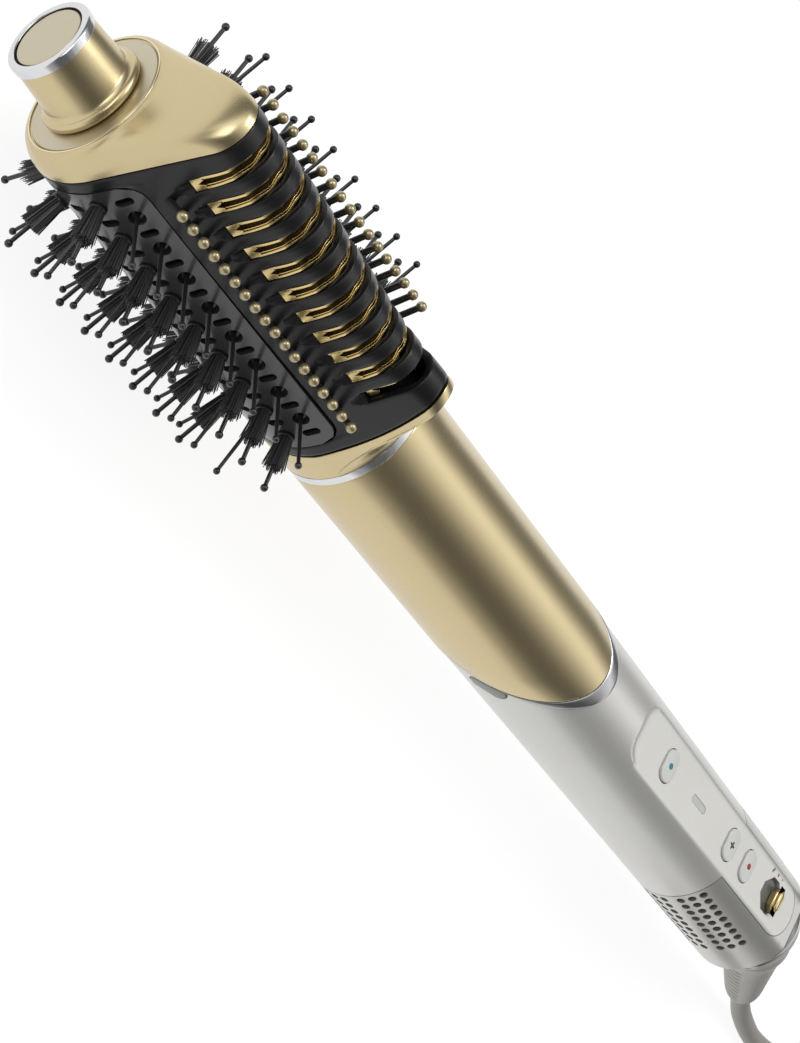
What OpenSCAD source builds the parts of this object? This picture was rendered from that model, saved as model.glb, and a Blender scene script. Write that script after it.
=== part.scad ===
// Hot air styler: a heated brush head with a ribbed nose, on a barrel that pulls off a
// slim fan handle, with a swivelling mains cord wound into a coil beside it.
// Each piece of the tool is drawn standing on its cool tip: z runs along the tool from
// the tip to the cord, x points to the nose and the buttons, and y to the release tab.
// lay() then puts the tool down on the table, on its lowest row of bristles.

/* [Tool] */
// Radius of the barrel and of the round back of the head
barrel_r = 19.9; // [19:0.1:20.5]
// Wall of the moulded shells
wall = 2.0; // [1.8:0.1:2.2]
// Gap between pieces that lie side by side
gap = 0.25; // [0.2:0.05:0.3]
// Length of the cool tip, from its end face to the cap
knob_len = 17.8; // [16:0.2:20]
// Height of the end cap on the axis
cap_len = 6.7; // [6:0.1:8]
// Length of the brush head on the axis, from the cap seam to the collar seam
head_len = 97; // [94:0.5:100]
// Length of the collar that flares into the barrel
collar_len = 9.3; // [8.5:0.1:11]
// Width of the chrome band under the collar
band_w = 2.5; // [1.5:0.1:4]
// Length of the barrel on the axis, from the band to the slanted joint
barrel_len = 85.2; // [80:0.2:95]
// Length of the handle on the axis, from the joint to the filter sleeve
grip_len = 114.5; // [112:0.5:125]
// Length of the filter sleeve
sleeve_len = 44; // [42:0.5:50]
// Height of the ring that closes the handle
ring_len = 6.6; // [5:0.1:8]
// Height of the dome that swivels with the cord
dome_len = 12.4; // [11:0.1:14]

/* [Cool tip] */
// Radius of the champagne disc in the tip
disc_r = 8.4; // [7:0.1:8.8]
// Radius of the chrome ring
tip_ring_r = 10.6; // [10.2:0.1:11.5]
// Height of the chrome ring
tip_ring_h = 2.4; // [2:0.1:3.5]
// Radius of the knob under the ring
knob_r = 10.2; // [9.8:0.1:10.4]
// Radius of the bead round the foot of the knob
bead_r = 12.5; // [12:0.1:13.5]
// Width of the cap's rounded shoulder, round the flat disc that the knob stands on
shoulder_w = 3.3; // [3.1:0.1:4.4]
// Width of the bright trim round that disc
trim_w = 0.5; // [0.3:0.1:0.8]

/* [Nose] */
// Distance from the axis to the centre of the nose rounding
nose_c = 31.6; // [30.5:0.1:32]
// Radius of the nose rounding
nose_r = 8.8; // [8.4:0.1:9.2]
// How far the nose draws in at its waist
nose_waist = 3.6; // [2:0.1:4]
// How far the cap flares past the nose
nose_flare = 0.8; // [0:0.1:1.2]
// Radius of the foot of the nose, over the collar
foot_r = 6.3; // [6:0.1:7]
// Number of heated slots across the nose
slots = 11; // [5:1:11]
// Distance from the cap seam to the first slot
slot_start = 10; // [9:0.5:11]
// Distance between the slots
slot_pitch = 7.43; // [7:0.01:7.45]
// Width of a slot
slot_w = 3.5; // [3:0.1:4]
// Distance of the slots' ends from the axis
slot_floor = 24.4; // [24:0.1:26]
// Thickness of a heating fin
fin_t = 0.7; // [0.5:0.1:0.8]
// How far the fins stay below the nose
fin_drop = 1.6; // [1.2:0.1:2.5]

/* [Ball pins] */
// Number of ball pins along each side of the nose
ball_count = 18; // [8:1:18]
// Distance from the cap seam to the first ball pin
ball_start = 11.8; // [10:0.1:14]
// Distance between the ball pins
ball_pitch = 4.3; // [4:0.1:4.4]
// Diameter of a ball
ball_d = 2.7; // [2.2:0.1:3]
// Diameter of a ball's stem
stem_d = 1.75; // [1.4:0.05:1.9]
// Length of a stem from the head to the ball's centre
stem_len = 7.9; // [6:0.1:9]
// Lean of the stems from the nose
stem_lean = 32; // [30:1:36]

/* [Bristles] */
// Distance from the axis to the centres of the tip balls
reach = 35.3; // [32:0.1:38]
// Angle between the bristle rows
row_step = 20; // [20:1:20]
// Distance between the stations of a row
row_pitch = 10.1; // [9.5:0.1:11]
// Distance from the cap seam to the first pin
pin_start = 13.8; // [13:0.1:15]
// Distance from the cap seam to the first tuft
tuft_start = 8.4; // [8:0.1:9.5]
// Diameter of a pin
pin_d = 0.95; // [0.8:0.05:1.2]
// Diameter of a pin's tip ball
pin_ball = 1.8; // [1.5:0.1:2.2]
// Diameter of the dimple round a pin and of a tuft's socket
socket_d = 4.3; // [4:0.1:4.6]
// Strands round each tuft's centre pin
tuft_strands = 7; // [5:1:8]
// Length of the strands above the panel
strand_len = 9.5; // [8:0.1:12]
// Thickness of a strand
strand_d = 0.5; // [0.4:0.05:0.6]
// Thickness of the bristle panel
panel_t = 1.6; // [1.4:0.1:1.8]
// Distance of the panel's side edges from the axis, towards the nose
panel_edge = 15.6; // [14:0.1:16.5]
// Width of a vent slot in the panel, along the tool
vent_w = 2.2; // [1.6:0.1:2.4]
// Length of a vent slot round the panel
vent_len = 4.7; // [4:0.1:5]
// Depth of the flat on the lowest tip balls, where the tool lies on them
rest_flat = 0.5; // [0.4:0.1:0.6]

/* [Joint and release] */
// Slant of the joint between barrel and handle, in mm along the tool for each mm across
joint_slope = 1.141; // [1:0.01:1.2]
// Slant of the lower edge of the chrome crescent
crescent_slope = 1.437; // [1.3:0.01:1.5]
// Depth of the coupling tube under the barrel's surface
spigot_drop = 6.3; // [6.1:0.1:6.9]
// Distance that the coupling tube reaches past the joint
spigot_reach = 33.5; // [32:0.5:34]
// Length of the release tab
tab_len = 11.1; // [9:0.1:12]
// Width of the release tab
tab_w = 4.6; // [4:0.1:5]
// Travel of the release tab
tab_travel = 1.2; // [0.8:0.1:1.2]

/* [Handle] */
// How much slimmer the handle is than the barrel, at the joint
grip_step = 0.35; // [0.2:0.05:0.6]
// Narrowing of the handle for each mm towards the cord
grip_taper = 0.0065; // [0.004:0.0005:0.008]
// Depth of the flat control face under the barrel's surface
face_drop = 3.1; // [2.9:0.1:3.3]
// Distance from the joint to the top of the control face
face_start = 49.5; // [48:0.5:52]
// Half the width of the tongue between the edges of the sleeve
tongue_w = 8.9; // [8.4:0.1:9.2]
// Rows of holes in the filter sleeve
hole_rows = 9; // [5:1:9]
// Distance between the rows of holes
hole_pitch = 3.54; // [3.3:0.02:3.6]
// Diameter of a filter hole
hole_d = 2.2; // [1.6:0.1:2.4]

/* [Controls] */
// Distance from the top of the control face to the cool shot button
cool_at = 19; // [15:0.5:25]
// Distance from the top of the control face to the indicator
lamp_at = 39.3; // [36:0.1:44]
// Distance from the top of the control face to the fan button
fan_at = 61.7; // [58:0.1:62]
// Distance from the top of the control face to the heat button
heat_at = 73.8; // [73:0.1:74]
// Distance from the top of the control face to the middle of the slider's well
well_at = 91; // [90.5:0.1:91.5]
// Length of a button across the handle
button_len = 10.2; // [8:0.1:10.6]
// Width of a button
button_w = 6.4; // [5.5:0.1:7]
// Travel of a button
button_travel = 0.6; // [0.4:0.1:0.6]
// Travel of the slider through its three settings
slider_travel = 6.3; // [5.5:0.1:6.4]

/* [Fan] */
// Radius of the motor
motor_r = 10.3; // [9:0.1:10.3]
// Length of the motor
motor_len = 28; // [24:0.5:32]
// Radius of the motor's shaft
shaft_r = 1; // [0.8:0.1:1.5]
// Gap round the impeller
impeller_gap = 1.1; // [0.9:0.1:3.3]
// Number of impeller blades
blades = 9; // [5:1:11]

/* [Cord] */
// Diameter of the mains cord
cord_d = 6.6; // [6.6:0.1:6.6]
// Distance between neighbouring turns of the coil
coil_pitch = 7.1; // [7.1:0.1:7.4]
// Radius of the coil's outermost turn
coil_out = 46.4; // [46.4:0.1:46.4]
// Turns in the coil
coil_turns = 9.5; // [9.5:1:9.5]
// Thickness of the ties round the coil
tie_t = 0.8; // [0.6:0.1:0.8]
// Length of the strain relief on the cord swivel
boot_len = 51.6; // [51.6:0.1:51.6]
// Radius of the strain relief at its root
boot_r = 10; // [9:0.1:10.5]
// Radius of a mains pin
mains_r = 2.4; // [2:0.1:2.4]
// Length of a mains pin
mains_len = 19; // [19:0.5:19]
// Distance between the mains pins
mains_gap = 19; // [19:0.5:19]
// Radius of the plug's face
plug_r = 17.5; // [17:0.1:18.5]

/* [Hidden] */
$fn = 48;
cut = 200;          // size of the blocks that cut away half a space
hull_fn = 24;       // sides of the nose's roundings; the back has twice as many

// Stations along the tool
cap_seam = knob_len + cap_len;
foot_seam = cap_seam + head_len;
band_top = foot_seam + collar_len;
barrel_top = band_top + band_w;
joint = barrel_top + barrel_len;
sleeve_top = joint + grip_len;
ring_top = sleeve_top + sleeve_len;
dome_top = ring_top + ring_len;
tool_len = dome_top + dome_len;

// Place of the tool on the table
tip_x = tool_len / 2;
axis_h = reach + pin_ball / 2 - rest_flat;

// Head
cap_tilt = 0.08;                       // slope of the cap seam
seam_gap = 0.4;                        // dark gap at the cap and collar seams
seam_arc = 62.5;                       // radius of the arched collar seam
seam_mid = foot_seam - 61.4;           // centre of that arch along the tool
seam_side = 12;                        // and towards the nose
frame_wall = panel_t + 0.8;
flank_drop = 0.03;                     // how far the flanks lie inside the two roundings
flank_lean = acos((barrel_r - nose_r) / (nose_c - 1.2));
function flank_at(n) = (barrel_r - n * cos(flank_lean)) / sin(flank_lean);
cap_disc_r = barrel_r - shoulder_w;
neck_r = barrel_r - 4.3;               // bore of the barrel's neck
air_r = barrel_r - 5.9;                // bore of the collar
ledge = 2;                             // width of the ledge under the panel
border = 3.5;                          // black border round the panel
panel_top = cap_seam + border;
strip_r = barrel_r - panel_t - 0.2;    // outer face of the bristle strips
strip_t = 1.5;
strip_w = 4.4;
strip_start = border + ledge + cap_tilt * panel_edge;
stem_root = [19.5, flank_at(19.5) + 0.27]; // where a stem leaves the flank
rail = 2.4;
bar_n = 22;                            // the bar that carries the fins
insert = 6;                            // how far the collar reaches into the frame
head_line = [                          // station, nose centre, nose radius
    [cap_seam - 2, nose_c + nose_flare, nose_r + 0.2],
    [cap_seam + 24, nose_c, nose_r],
    [cap_seam + 48, nose_c - nose_waist * 0.35, nose_r],
    [cap_seam + 74, nose_c - nose_waist, nose_r],
    [foot_seam - 5, nose_c + 1.4, foot_r],
    [foot_seam + 3, nose_c + 1.8, foot_r]];

// Handle
grip_r = barrel_r - grip_step;
shell_in = grip_r - wall - 0.25;       // inside of the handle
core_r = grip_r - 3.55;                // tube under the filter sleeve
core_in = core_r - 1.8;
face_n = barrel_r - face_drop;
face_in = face_n - wall;
face_top = joint + face_start;
well = [11, 11];
button_flange = 0.8;
slider_foot = [4, 3];
tongue_end = ring_top - 3;
spigot_r = barrel_r - spigot_drop;
socket_r = spigot_r + 0.3;
spigot_end = joint + spigot_reach;

// Fan
impeller_top = spigot_end + 3;
impeller_r = shell_in - impeller_gap;
impeller_h = 8.6;
mount_top = impeller_top + impeller_h + 2;
motor_top = mount_top + 3;
board_n = face_in - 4.1;
board_t = 1.2;

// Cord
cord_r = cord_d / 2;
coil_layers = 4;
coil_span = coil_turns / coil_layers;
coil_in = coil_out - coil_pitch * coil_span;
coil_step = 24;                        // rings in a turn of the coil
coil_at = [541, 18];                   // middle of the coil: along the tool, across it
coil_low = tie_t + 0.3 + cord_r;       // height of the lowest turns
coil_high = coil_low + coil_pitch * (coil_layers - 1);
boot_start = [385, 0, 0];
boot_dir = [45, 4, -25] / boot_len;
boot_skip = 7;                         // the boot begins this far along its line
plug_h = plug_r;                       // height of the plug's axis over the table
cord_route = [                         // along the tool, across it, height over the table
    [430, 4, 10.6], [436, 4.6, 7.5], [443, 5.8, 5.1], [451, 7.2, 3.9], [458.2, 7.8, 3.4],
    [468.4, 6.9, 3.4], [478.2, 3.7, 3.4], [487, -1.4, 3.4], [496.3, -10.2, 3.4],
    [507, -20, 3.5], [514.5, -24.2, 3.7], [524.2, -27.3, 4.1], [534.4, -28.4, 4.4]];
tail_route = [
    [534.4, 64.4, 25.7], [522, 64.4, 25.2], [508, 64.4, 23], [494, 64.4, 19.9],
    [482, 64.4, 17.8], [472, 64.4, 17.5]];
plug_at = [472, 64.4];
plug_neck = 24;
plug_body_len = 30;

pin_rows = [3, 5, 7, 9, 11, 13, 15];
tuft_rows = [4, 6, 8, 10, 12, 14];

// The tool laid down, with its nose up
module lay() translate([tip_x, 0, axis_h]) rotate([0, -90, 0]) children();

// Everything past, or before, a plane that leans along the tool towards the nose
module past(z, slope) translate([0, 0, z]) rotate([0, -atan(slope), 0])
    translate([-cut / 2, -cut / 2, 0]) cube(cut);
module before(z, slope) translate([0, 0, z]) rotate([0, -atan(slope), 0])
    translate([-cut / 2, -cut / 2, -cut]) cube(cut);

// A side view, nose to the right and cord up, pushed across the tool
module across(from, to) translate([0, to, 0]) rotate([90, 0, 0])
    linear_extrude(to - from) children();

// A plan view of the control face, raised from it
module raised(from, to) translate([from, 0, 0]) rotate([90, 0, 90])
    linear_extrude(to - from) children();

module tube(outer, inner, from, to) translate([0, 0, from]) difference() {
    cylinder(r = outer, h = to - from);
    translate([0, 0, -1]) cylinder(r = inner, h = to - from + 2);
}

// Cross-section of the head: the round back and the nose, joined by flanks a hair inside them
module section(c, r, inset = 0) {
    lean = acos((barrel_r - r) / c);
    back = (barrel_r - inset - flank_drop) * [cos(lean), sin(lean)];
    nose = [c, 0] + (r - inset - flank_drop) * [cos(lean), sin(lean)];
    circle(r = barrel_r - inset);
    translate([c, 0]) circle(r = r - inset);
    polygon([back, nose, [nose.x, -nose.y], [back.x, -back.y]]);
}

// The same section as one solid, of a given length
module block(h, c, r) {
    lean = acos((barrel_r - r) / c);
    back = (barrel_r - flank_drop) * [cos(lean), sin(lean)];
    nose = [c, 0] + (r - flank_drop) * [cos(lean), sin(lean)];
    cylinder(r = barrel_r, h = h);
    translate([c, 0, 0]) cylinder(r = r, h = h);
    linear_extrude(h) polygon([back, nose, [nose.x, -nose.y], [back.x, -back.y]]);
}

module slice(z, c, r, back = barrel_r) translate([0, 0, z]) linear_extrude(0.02)
    hull() {
        circle(r = back, $fn = 2 * hull_fn);
        translate([c, 0]) circle(r = r, $fn = hull_fn);
    }

// The arched seam over the collar, moved in or out
module arch(shift) translate([seam_side, 0, seam_mid]) rotate([90, 0, 0])
    cylinder(r = seam_arc + shift, h = cut, center = true, $fn = 96);

function nose_at(z) = lookup(z, [for (p = head_line) [p[0], p[1] + p[2]]]);
function arch_at(n, shift) = seam_mid + sqrt(pow(seam_arc + shift, 2) - pow(n - seam_side, 2));

// Cool tip

module tip_disc() color("#c9b88f") lay() cylinder(r = disc_r, h = 1.2);

module tip_ring() color("#d8dade") lay() rotate_extrude() difference() {
    union() {
        translate([0, 1]) square([tip_ring_r, tip_ring_h - 1]);
        square([tip_ring_r - 1, tip_ring_h]);
        translate([tip_ring_r - 1, 1]) circle(r = 1);
    }
    translate([0, -1]) square([disc_r + gap, 2.2]);
}

module tip_knob() color("#cdb88a") lay() rotate_extrude() {
    polygon([[0, tip_ring_h], [knob_r, tip_ring_h], [knob_r + 0.9, knob_len - 3.2],
        [bead_r - 0.4, knob_len - 1.4], [bead_r - 0.4, knob_len], [0, knob_len]]);
    translate([bead_r - 0.75, knob_len - 0.75]) circle(r = 0.75);
    translate([0, knob_len]) square([5, 6]);
}

// End cap

module cap_disc() color("#c9b993") lay() tube(cap_disc_r, 5 + gap, knob_len, knob_len + 1.4);

module cap_trim() color("#e6e2d4") lay()
    tube(cap_disc_r + 0.15 + trim_w, cap_disc_r + 0.15, knob_len - 0.2, knob_len + 1.6);

module end_cap() color("#c8b184") lay() difference() {
    union() {
        difference() {
            hull() {
                slice(knob_len, 0.01, 1, cap_disc_r + trim_w + 0.35);
                slice(knob_len + 0.8, 8, 9, barrel_r - 2);
                slice(knob_len + 2, 16, 8, barrel_r - 1.2);
                slice(knob_len + 3.6, 23, nose_r - 0.8, barrel_r - 0.55);
                slice(knob_len + 5.4, nose_c - 3.6, nose_r - 0.4, barrel_r - 0.15);
                slice(knob_len + 7.6, nose_c - 0.4, nose_r, barrel_r);
                slice(cap_seam + 4.5, nose_c + nose_flare, nose_r + 0.2, barrel_r);
            }
            past(cap_seam, cap_tilt);
        }
        translate([0, 0, cap_seam - 1]) linear_extrude(6)
            section(nose_c - nose_waist, nose_r, frame_wall + gap);
    }
    translate([0, 0, knob_len - 1]) cylinder(r = cap_disc_r + trim_w + 0.2, h = 2.7);
    translate([0, 0, knob_len]) cylinder(r = 5.05, h = 6.3);
}

// Brush head

module head_shape() for (k = [0 : len(head_line) - 2]) hull() {
    slice(head_line[k][0], head_line[k][1], head_line[k][2]);
    slice(head_line[k + 1][0], head_line[k + 1][1], head_line[k + 1][2]);
}

// Side view of the bristle panel, or of a window smaller by the inset
module panel_view(inset) {
    top = panel_top + inset;
    edge = panel_edge - inset;
    corner = 5 - inset;
    difference() {
        translate([-barrel_r - 5, top - 3]) square([barrel_r + 5 + edge, head_len]);
        translate([0, top]) rotate(atan(cap_tilt)) translate([-cut / 2, -20]) square([cut, 20]);
        translate([edge - corner, top - 3]) square([corner + 1, 3 + corner + edge * cap_tilt]);
        difference() {
            translate([edge - corner, arch_at(edge, -border - inset) - corner])
                square([corner + 1, 3 * corner]);
            translate([edge - corner, arch_at(edge, -border - inset) - corner]) circle(r = corner);
        }
        difference() {
            translate([-barrel_r - 6, seam_mid]) square([barrel_r + 10 + edge, head_len]);
            translate([seam_side, seam_mid]) circle(r = seam_arc - border - inset, $fn = 96);
        }
    }
    translate([edge - corner, top + corner + edge * cap_tilt]) circle(r = corner);
}

module slot_view(z) {
    translate([slot_floor + slot_w / 2, z]) circle(r = slot_w / 2, $fn = 20);
    translate([slot_floor + slot_w / 2, z - slot_w / 2]) square([cut / 4, slot_w]);
}

module on_stems() for (side = [-1, 1], k = [0 : ball_count - 1])
    translate([stem_root.x, side * stem_root.y, cap_seam + ball_start + k * ball_pitch])
        rotate([0, 0, side * stem_lean]) rotate([0, 90, 0]) children();

module head_frame() color("#232325") lay() difference() {
    head_shape();
    before(cap_seam + seam_gap, cap_tilt);
    difference() {
        translate([-cut / 2, -cut / 2, seam_mid + seam_arc / 3]) cube(cut);
        arch(0);
    }
    translate([0, 0, cap_seam - 10]) linear_extrude(cut)
        section(nose_c - nose_waist, nose_r, frame_wall);
    difference() {
        across(-30, 30) panel_view(-gap);
        linear_extrude(cut) section(nose_c - 1.2, nose_r, panel_t + 0.1);
    }
    across(-30, 30) panel_view(ledge);
    for (k = [0 : slots - 1]) across(-20, 20) slot_view(cap_seam + slot_start + k * slot_pitch);
    on_stems() translate([0, 0, -6]) cylinder(r = stem_d / 2 + 0.15, h = 9, $fn = 8);
}

// Angle of a bristle row from the nose, and how many stations fit above the panel's edge
function row_a(i) = i * row_step;
function fits(i, start) = floor((arch_at(barrel_r * cos(row_a(i)), -border - 3)
    - cap_seam - start) / row_pitch + 1);

module stations(i, start, len) for (k = [0 : fits(i, start) - 1])
    rotate([0, 0, row_a(i)]) translate([len, 0, cap_seam + start + k * row_pitch])
        rotate([0, 90, 0]) children();

// A vent slot, and the round hole for a socket
module vent() linear_extrude(8) {
    for (s = [-1, 1]) translate([0, s * (vent_len - vent_w) / 2]) circle(r = vent_w / 2);
    square([vent_w, vent_len - vent_w], center = true);
}
module socket() cylinder(r = socket_d / 2, h = 8);

module bristle_panel() color("#4a4a4c") lay() difference() {
    intersection() {
        difference() {
            translate([0, 0, cap_seam]) block(head_len, nose_c - 1.2, nose_r);
            translate([0, 0, cap_seam - 1]) linear_extrude(head_len + 2)
                section(nose_c - 1.2, nose_r, panel_t);
        }
        across(-30, 30) panel_view(0);
    }
    for (i = pin_rows) {
        stations(i, pin_start, barrel_r - 4) socket();
        stations(i, pin_start - row_pitch / 2, barrel_r - 4) vent();
    }
    for (i = tuft_rows) {
        stations(i, tuft_start, barrel_r - 4) socket();
        stations(i, tuft_start + row_pitch / 2, barrel_r - 4) vent();
    }
}

// The strip that a row stands on, from the panel's top edge past its last station
module strip(i, start) rotate([0, 0, row_a(i)])
    translate([strip_r - strip_t, -strip_w / 2, cap_seam + strip_start])
        cube([strip_t, strip_w, start + (fits(i, start) - 1) * row_pitch + 1.4 - strip_start]);

module pin(d, ball, low) {
    cylinder(r = d / 2, h = reach - low);
    translate([0, 0, reach - low]) sphere(r = ball / 2);
}

module pin_row(i) color("#18181a") lay() difference() {
    union() {
        strip(i, pin_start);
        stations(i, pin_start, strip_r - 0.5) {
            cylinder(r = socket_d / 2 - 1, h = 1.4);
            pin(pin_d, pin_ball, strip_r - 0.5);
        }
    }
    translate([-axis_h - cut, -cut / 2, 0]) cube(cut);
}

module tuft_row(i) color("#1d1d1f") lay() {
    strip(i, tuft_start);
    stations(i, tuft_start, strip_r - 0.5) {
        cylinder(r = socket_d / 2 - 0.2, h = panel_t + 0.5);
        pin(pin_d + 0.15, pin_ball + 0.2, strip_r - 0.5);
        for (j = [0 : tuft_strands - 1]) rotate([0, 0, j * 360 / tuft_strands])
            translate([1.35, 0, 0]) rotate([0, 7, 0])
                cylinder(r = strand_d / 2, h = strand_len + panel_t, $fn = 3);
    }
}

module ball_combs() color("#1b1b1d") lay() {
    on_stems() translate([0, 0, -6.4]) cylinder(r = stem_d / 2, h = stem_len + 5.9);
    for (side = [-1, 1]) translate([stem_root.x, side * stem_root.y, 0])
        rotate([0, 0, side * stem_lean]) translate([-6 - rail, -rail / 2, cap_seam + ball_start - 2])
            cube([rail, rail, (ball_count - 1) * ball_pitch + 4]);
}

module ball_tips() color("#b9a06a") lay() on_stems() translate([0, 0, stem_len]) difference() {
    sphere(r = ball_d / 2);
    translate([0, 0, -ball_d]) cylinder(r = stem_d / 2 + 0.05, h = ball_d - 0.45);
}

// Two curved fins stand in each slot, on a bar inside the nose, with a bridge at one end
module heat_fins() color("#c2a35d") lay() {
    translate([bar_n, -7, cap_seam + slot_start - 3])
        cube([2, 14, (slots - 1) * slot_pitch + 6]);
    for (k = [0 : slots - 1]) {
        z = cap_seam + slot_start + k * slot_pitch;
        for (side = [-1, 1]) fin(z, side);
        translate([bar_n, 4.6, z - 1]) cube([4.6, 3, 2]);
    }
}

// A fin fits in the room behind the ribs, and stands up in its slot
module fin(z, side) translate([0, 0, z + side * 0.85 - fin_t / 2]) linear_extrude(fin_t) {
    intersection() {
        section(nose_c - nose_waist, nose_r, frame_wall + 0.3);
        translate([bar_n, -cut / 2]) square([slot_floor + 1 - bar_n, cut]);
    }
    intersection() {
        section(nose_at(z) - nose_r, nose_r, fin_drop);
        translate([slot_floor + 0.9, -cut / 2]) square(cut);
    }
}

// A cross of insulating sheet that carries the heating wire
module heater_former() color("#b7a98c") lay() {
    for (a = [0, 90]) rotate([0, 0, a]) translate([1.3 - neck_r, -0.6, barrel_top + 4])
        cube([2 * neck_r - 2.6, 1.2, 40]);
    tube(neck_r - 0.2, neck_r - 1.6, barrel_top + 2, barrel_top + 46);
    for (a = [0 : 90 : 270]) rotate([0, 0, a]) translate([neck_r - 0.6, -0.6, barrel_top + 6])
        cube([barrel_r - wall - neck_r + 0.5, 1.2, 4]);
}

// Collar and barrel

module head_collar() color("#c8b184") lay() difference() {
    union() {
        difference() {
            union() {
                hull() {
                    slice(seam_mid + seam_arc * 0.75, nose_c + 1.5, foot_r);
                    slice(foot_seam + 3.5, nose_c + 1.8, foot_r);
                }
                hull() {
                    slice(foot_seam - 5, nose_c + 0.4, foot_r - 0.4);
                    slice(foot_seam + 1.5, nose_c - 10, foot_r + 3.4);
                }
                hull() {
                    slice(foot_seam + 1.48, nose_c - 10, foot_r + 3.4);
                    slice(foot_seam + 5, 9, barrel_r - 5);
                }
                hull() {
                    slice(foot_seam + 4.98, 9, barrel_r - 5);
                    slice(band_top - 0.02, 0.01, barrel_r - 1);
                }
            }
            arch(seam_gap);
            // the rim follows the arch, and the flare under it draws in
            difference() {
                translate([barrel_r, -cut / 2, foot_seam - 30]) cube(cut);
                arch(seam_gap + 2.6);
                hull() {
                    slice(foot_seam - 12, nose_c - 1, foot_r - 0.4);
                    slice(foot_seam + 1.5, nose_c - 10, foot_r + 3.4);
                }
            }
        }
        translate([0, 0, foot_seam - insert]) linear_extrude(insert)
            section(nose_c - nose_waist, nose_r, frame_wall + gap);
    }
    translate([0, 0, foot_seam - 20]) cylinder(r = air_r, h = 40);
    // socket for the barrel's neck
    translate([0, 0, band_top - 4]) cylinder(r = barrel_r - wall + gap, h = 10);
}

module collar_ring() color("#d8dade") lay() tube(barrel_r, barrel_r - wall + gap, band_top + 0.05, barrel_top - 0.05);

module barrel_sleeve() color("#c8b184") lay() difference() {
    union() {
        tube(barrel_r, barrel_r - wall, barrel_top, joint + cut / 4);
        tube(barrel_r - wall, neck_r, band_top - 3.8, barrel_top + 2);
    }
    past(joint - 0.1, joint_slope);
}

module coupling_spigot() color("#2c2c2e") lay() tube(spigot_r, spigot_r - 1.8, joint - 28, spigot_end);

module spigot_flange() color("#2c2c2e") lay() tube(barrel_r - wall - 0.1, spigot_r + 0.05, joint - 28, joint - 24.5);

module contact_arc(inner, outer, from, to, side) rotate([0, 0, 180 + side * 16])
    intersection() {
        tube(outer, inner, from, to);
        translate([0, -1.5, 0]) cube([30, 3, cut * 2]);
    }

module contact_strips() color("#d2a94c") lay()
    for (side = [-1, 0, 1]) contact_arc(spigot_r + 0.02, spigot_r + 0.17, spigot_end - 10, spigot_end - 1, side);

// Handle

module crescent_zone() difference() {
    children();
    before(joint + 0.1, joint_slope);
    past(joint - 0.7, crescent_slope);
}

module joint_crescent() color("#d8dade") lay() difference() {
    crescent_zone() tube(barrel_r, barrel_r - wall, joint - 10, joint + 40);
    across(barrel_r - 6, barrel_r + 5) tab_view(gap);
}

function grip_at(z) = grip_r - grip_taper * (z - joint);

module tab_view(grow) translate([0.45, joint + 4.45]) rotate(48.8) {
    r = tab_w / 2 - 0.2 + grow;
    for (s = [-1, 1], q = [-0.2, 0.2]) translate([s * (tab_len - tab_w) / 2 + s * 0.2, q]) circle(r = r);
    square([tab_len - tab_w + 0.4, 2 * r + 0.4], center = true);
    square([tab_len + 2 * grow, 0.4], center = true);
}

// Outline of the control face's tongue, which ends in a U
module tongue_view(grow) {
    translate([-tongue_w - grow, sleeve_top - 8]) square([2 * (tongue_w + grow), tongue_end - tongue_w - sleeve_top + 8]);
    translate([0, tongue_end - tongue_w]) circle(r = tongue_w + grow);
}

module pill_view(grow) {
    half = (button_len - button_w) / 2;
    for (s = [-1, 1]) translate([s * half, 0]) circle(r = button_w / 2 + grow);
    square([2 * half, button_w + 2 * grow], center = true);
}

module lamp_view(grow) {
    for (s = [-1, 1]) translate([0, s * 3.1]) circle(r = 1.2 + grow);
    square([2.4 + 2 * grow, 6.2], center = true);
}

module hex_view(w, h, chamfer) polygon([[-w / 2, -h / 2 + chamfer], [-w / 2 + chamfer, -h / 2],
    [w / 2 - chamfer, -h / 2], [w / 2, -h / 2 + chamfer], [w / 2, h / 2 - chamfer],
    [w / 2 - chamfer, h / 2], [-w / 2 + chamfer, h / 2], [-w / 2, h / 2 - chamfer]]);

module grip_body() rotate_extrude() difference() {
    polygon([[0, joint - 40], [grip_at(joint - 40), joint - 40], [grip_at(ring_top - 8), ring_top - 8],
        [grip_at(ring_top - 8) - 0.45, ring_top - 3], [grip_at(ring_top - 8) - 1.3, ring_top], [0, ring_top]]);
}

// What the flat control face takes off the round handle
module face_cut() translate([face_n, -cut / 2, face_top + 3]) difference() {
    translate([0, 0, -6]) cube(cut);
    rotate([0, -50, 0]) translate([-cut / 2, -1, -cut]) cube([cut, cut + 2, cut]);
}

module handle_shell() color("#c9c9c5") lay() difference() {
    handle_tube();
    for (side = [-1, 0, 1]) contact_arc(socket_r - 1, socket_r + 1.6, joint + 20, spigot_end - 1, side);
    across(barrel_r - 6, barrel_r + 5) tab_view(gap);
    for (at = [cool_at, fan_at, heat_at]) raised(face_in - 1, face_n + 5)
        translate([0, face_top + at]) pill_view(gap);
    raised(face_in - 1, face_n + 5) translate([0, face_top + lamp_at]) lamp_view(0.05);
    raised(face_n - 1, face_n + 5) translate([0, face_top + well_at]) hex_view(well.x, well.y, 2.6);
    raised(face_in - 1, face_n) translate([-1.1, face_top + well_at - slider_travel / 2 - 1.5])
        square([2.2, slider_travel + 2.7]);
    pockets();
    intake_windows();
}

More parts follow.
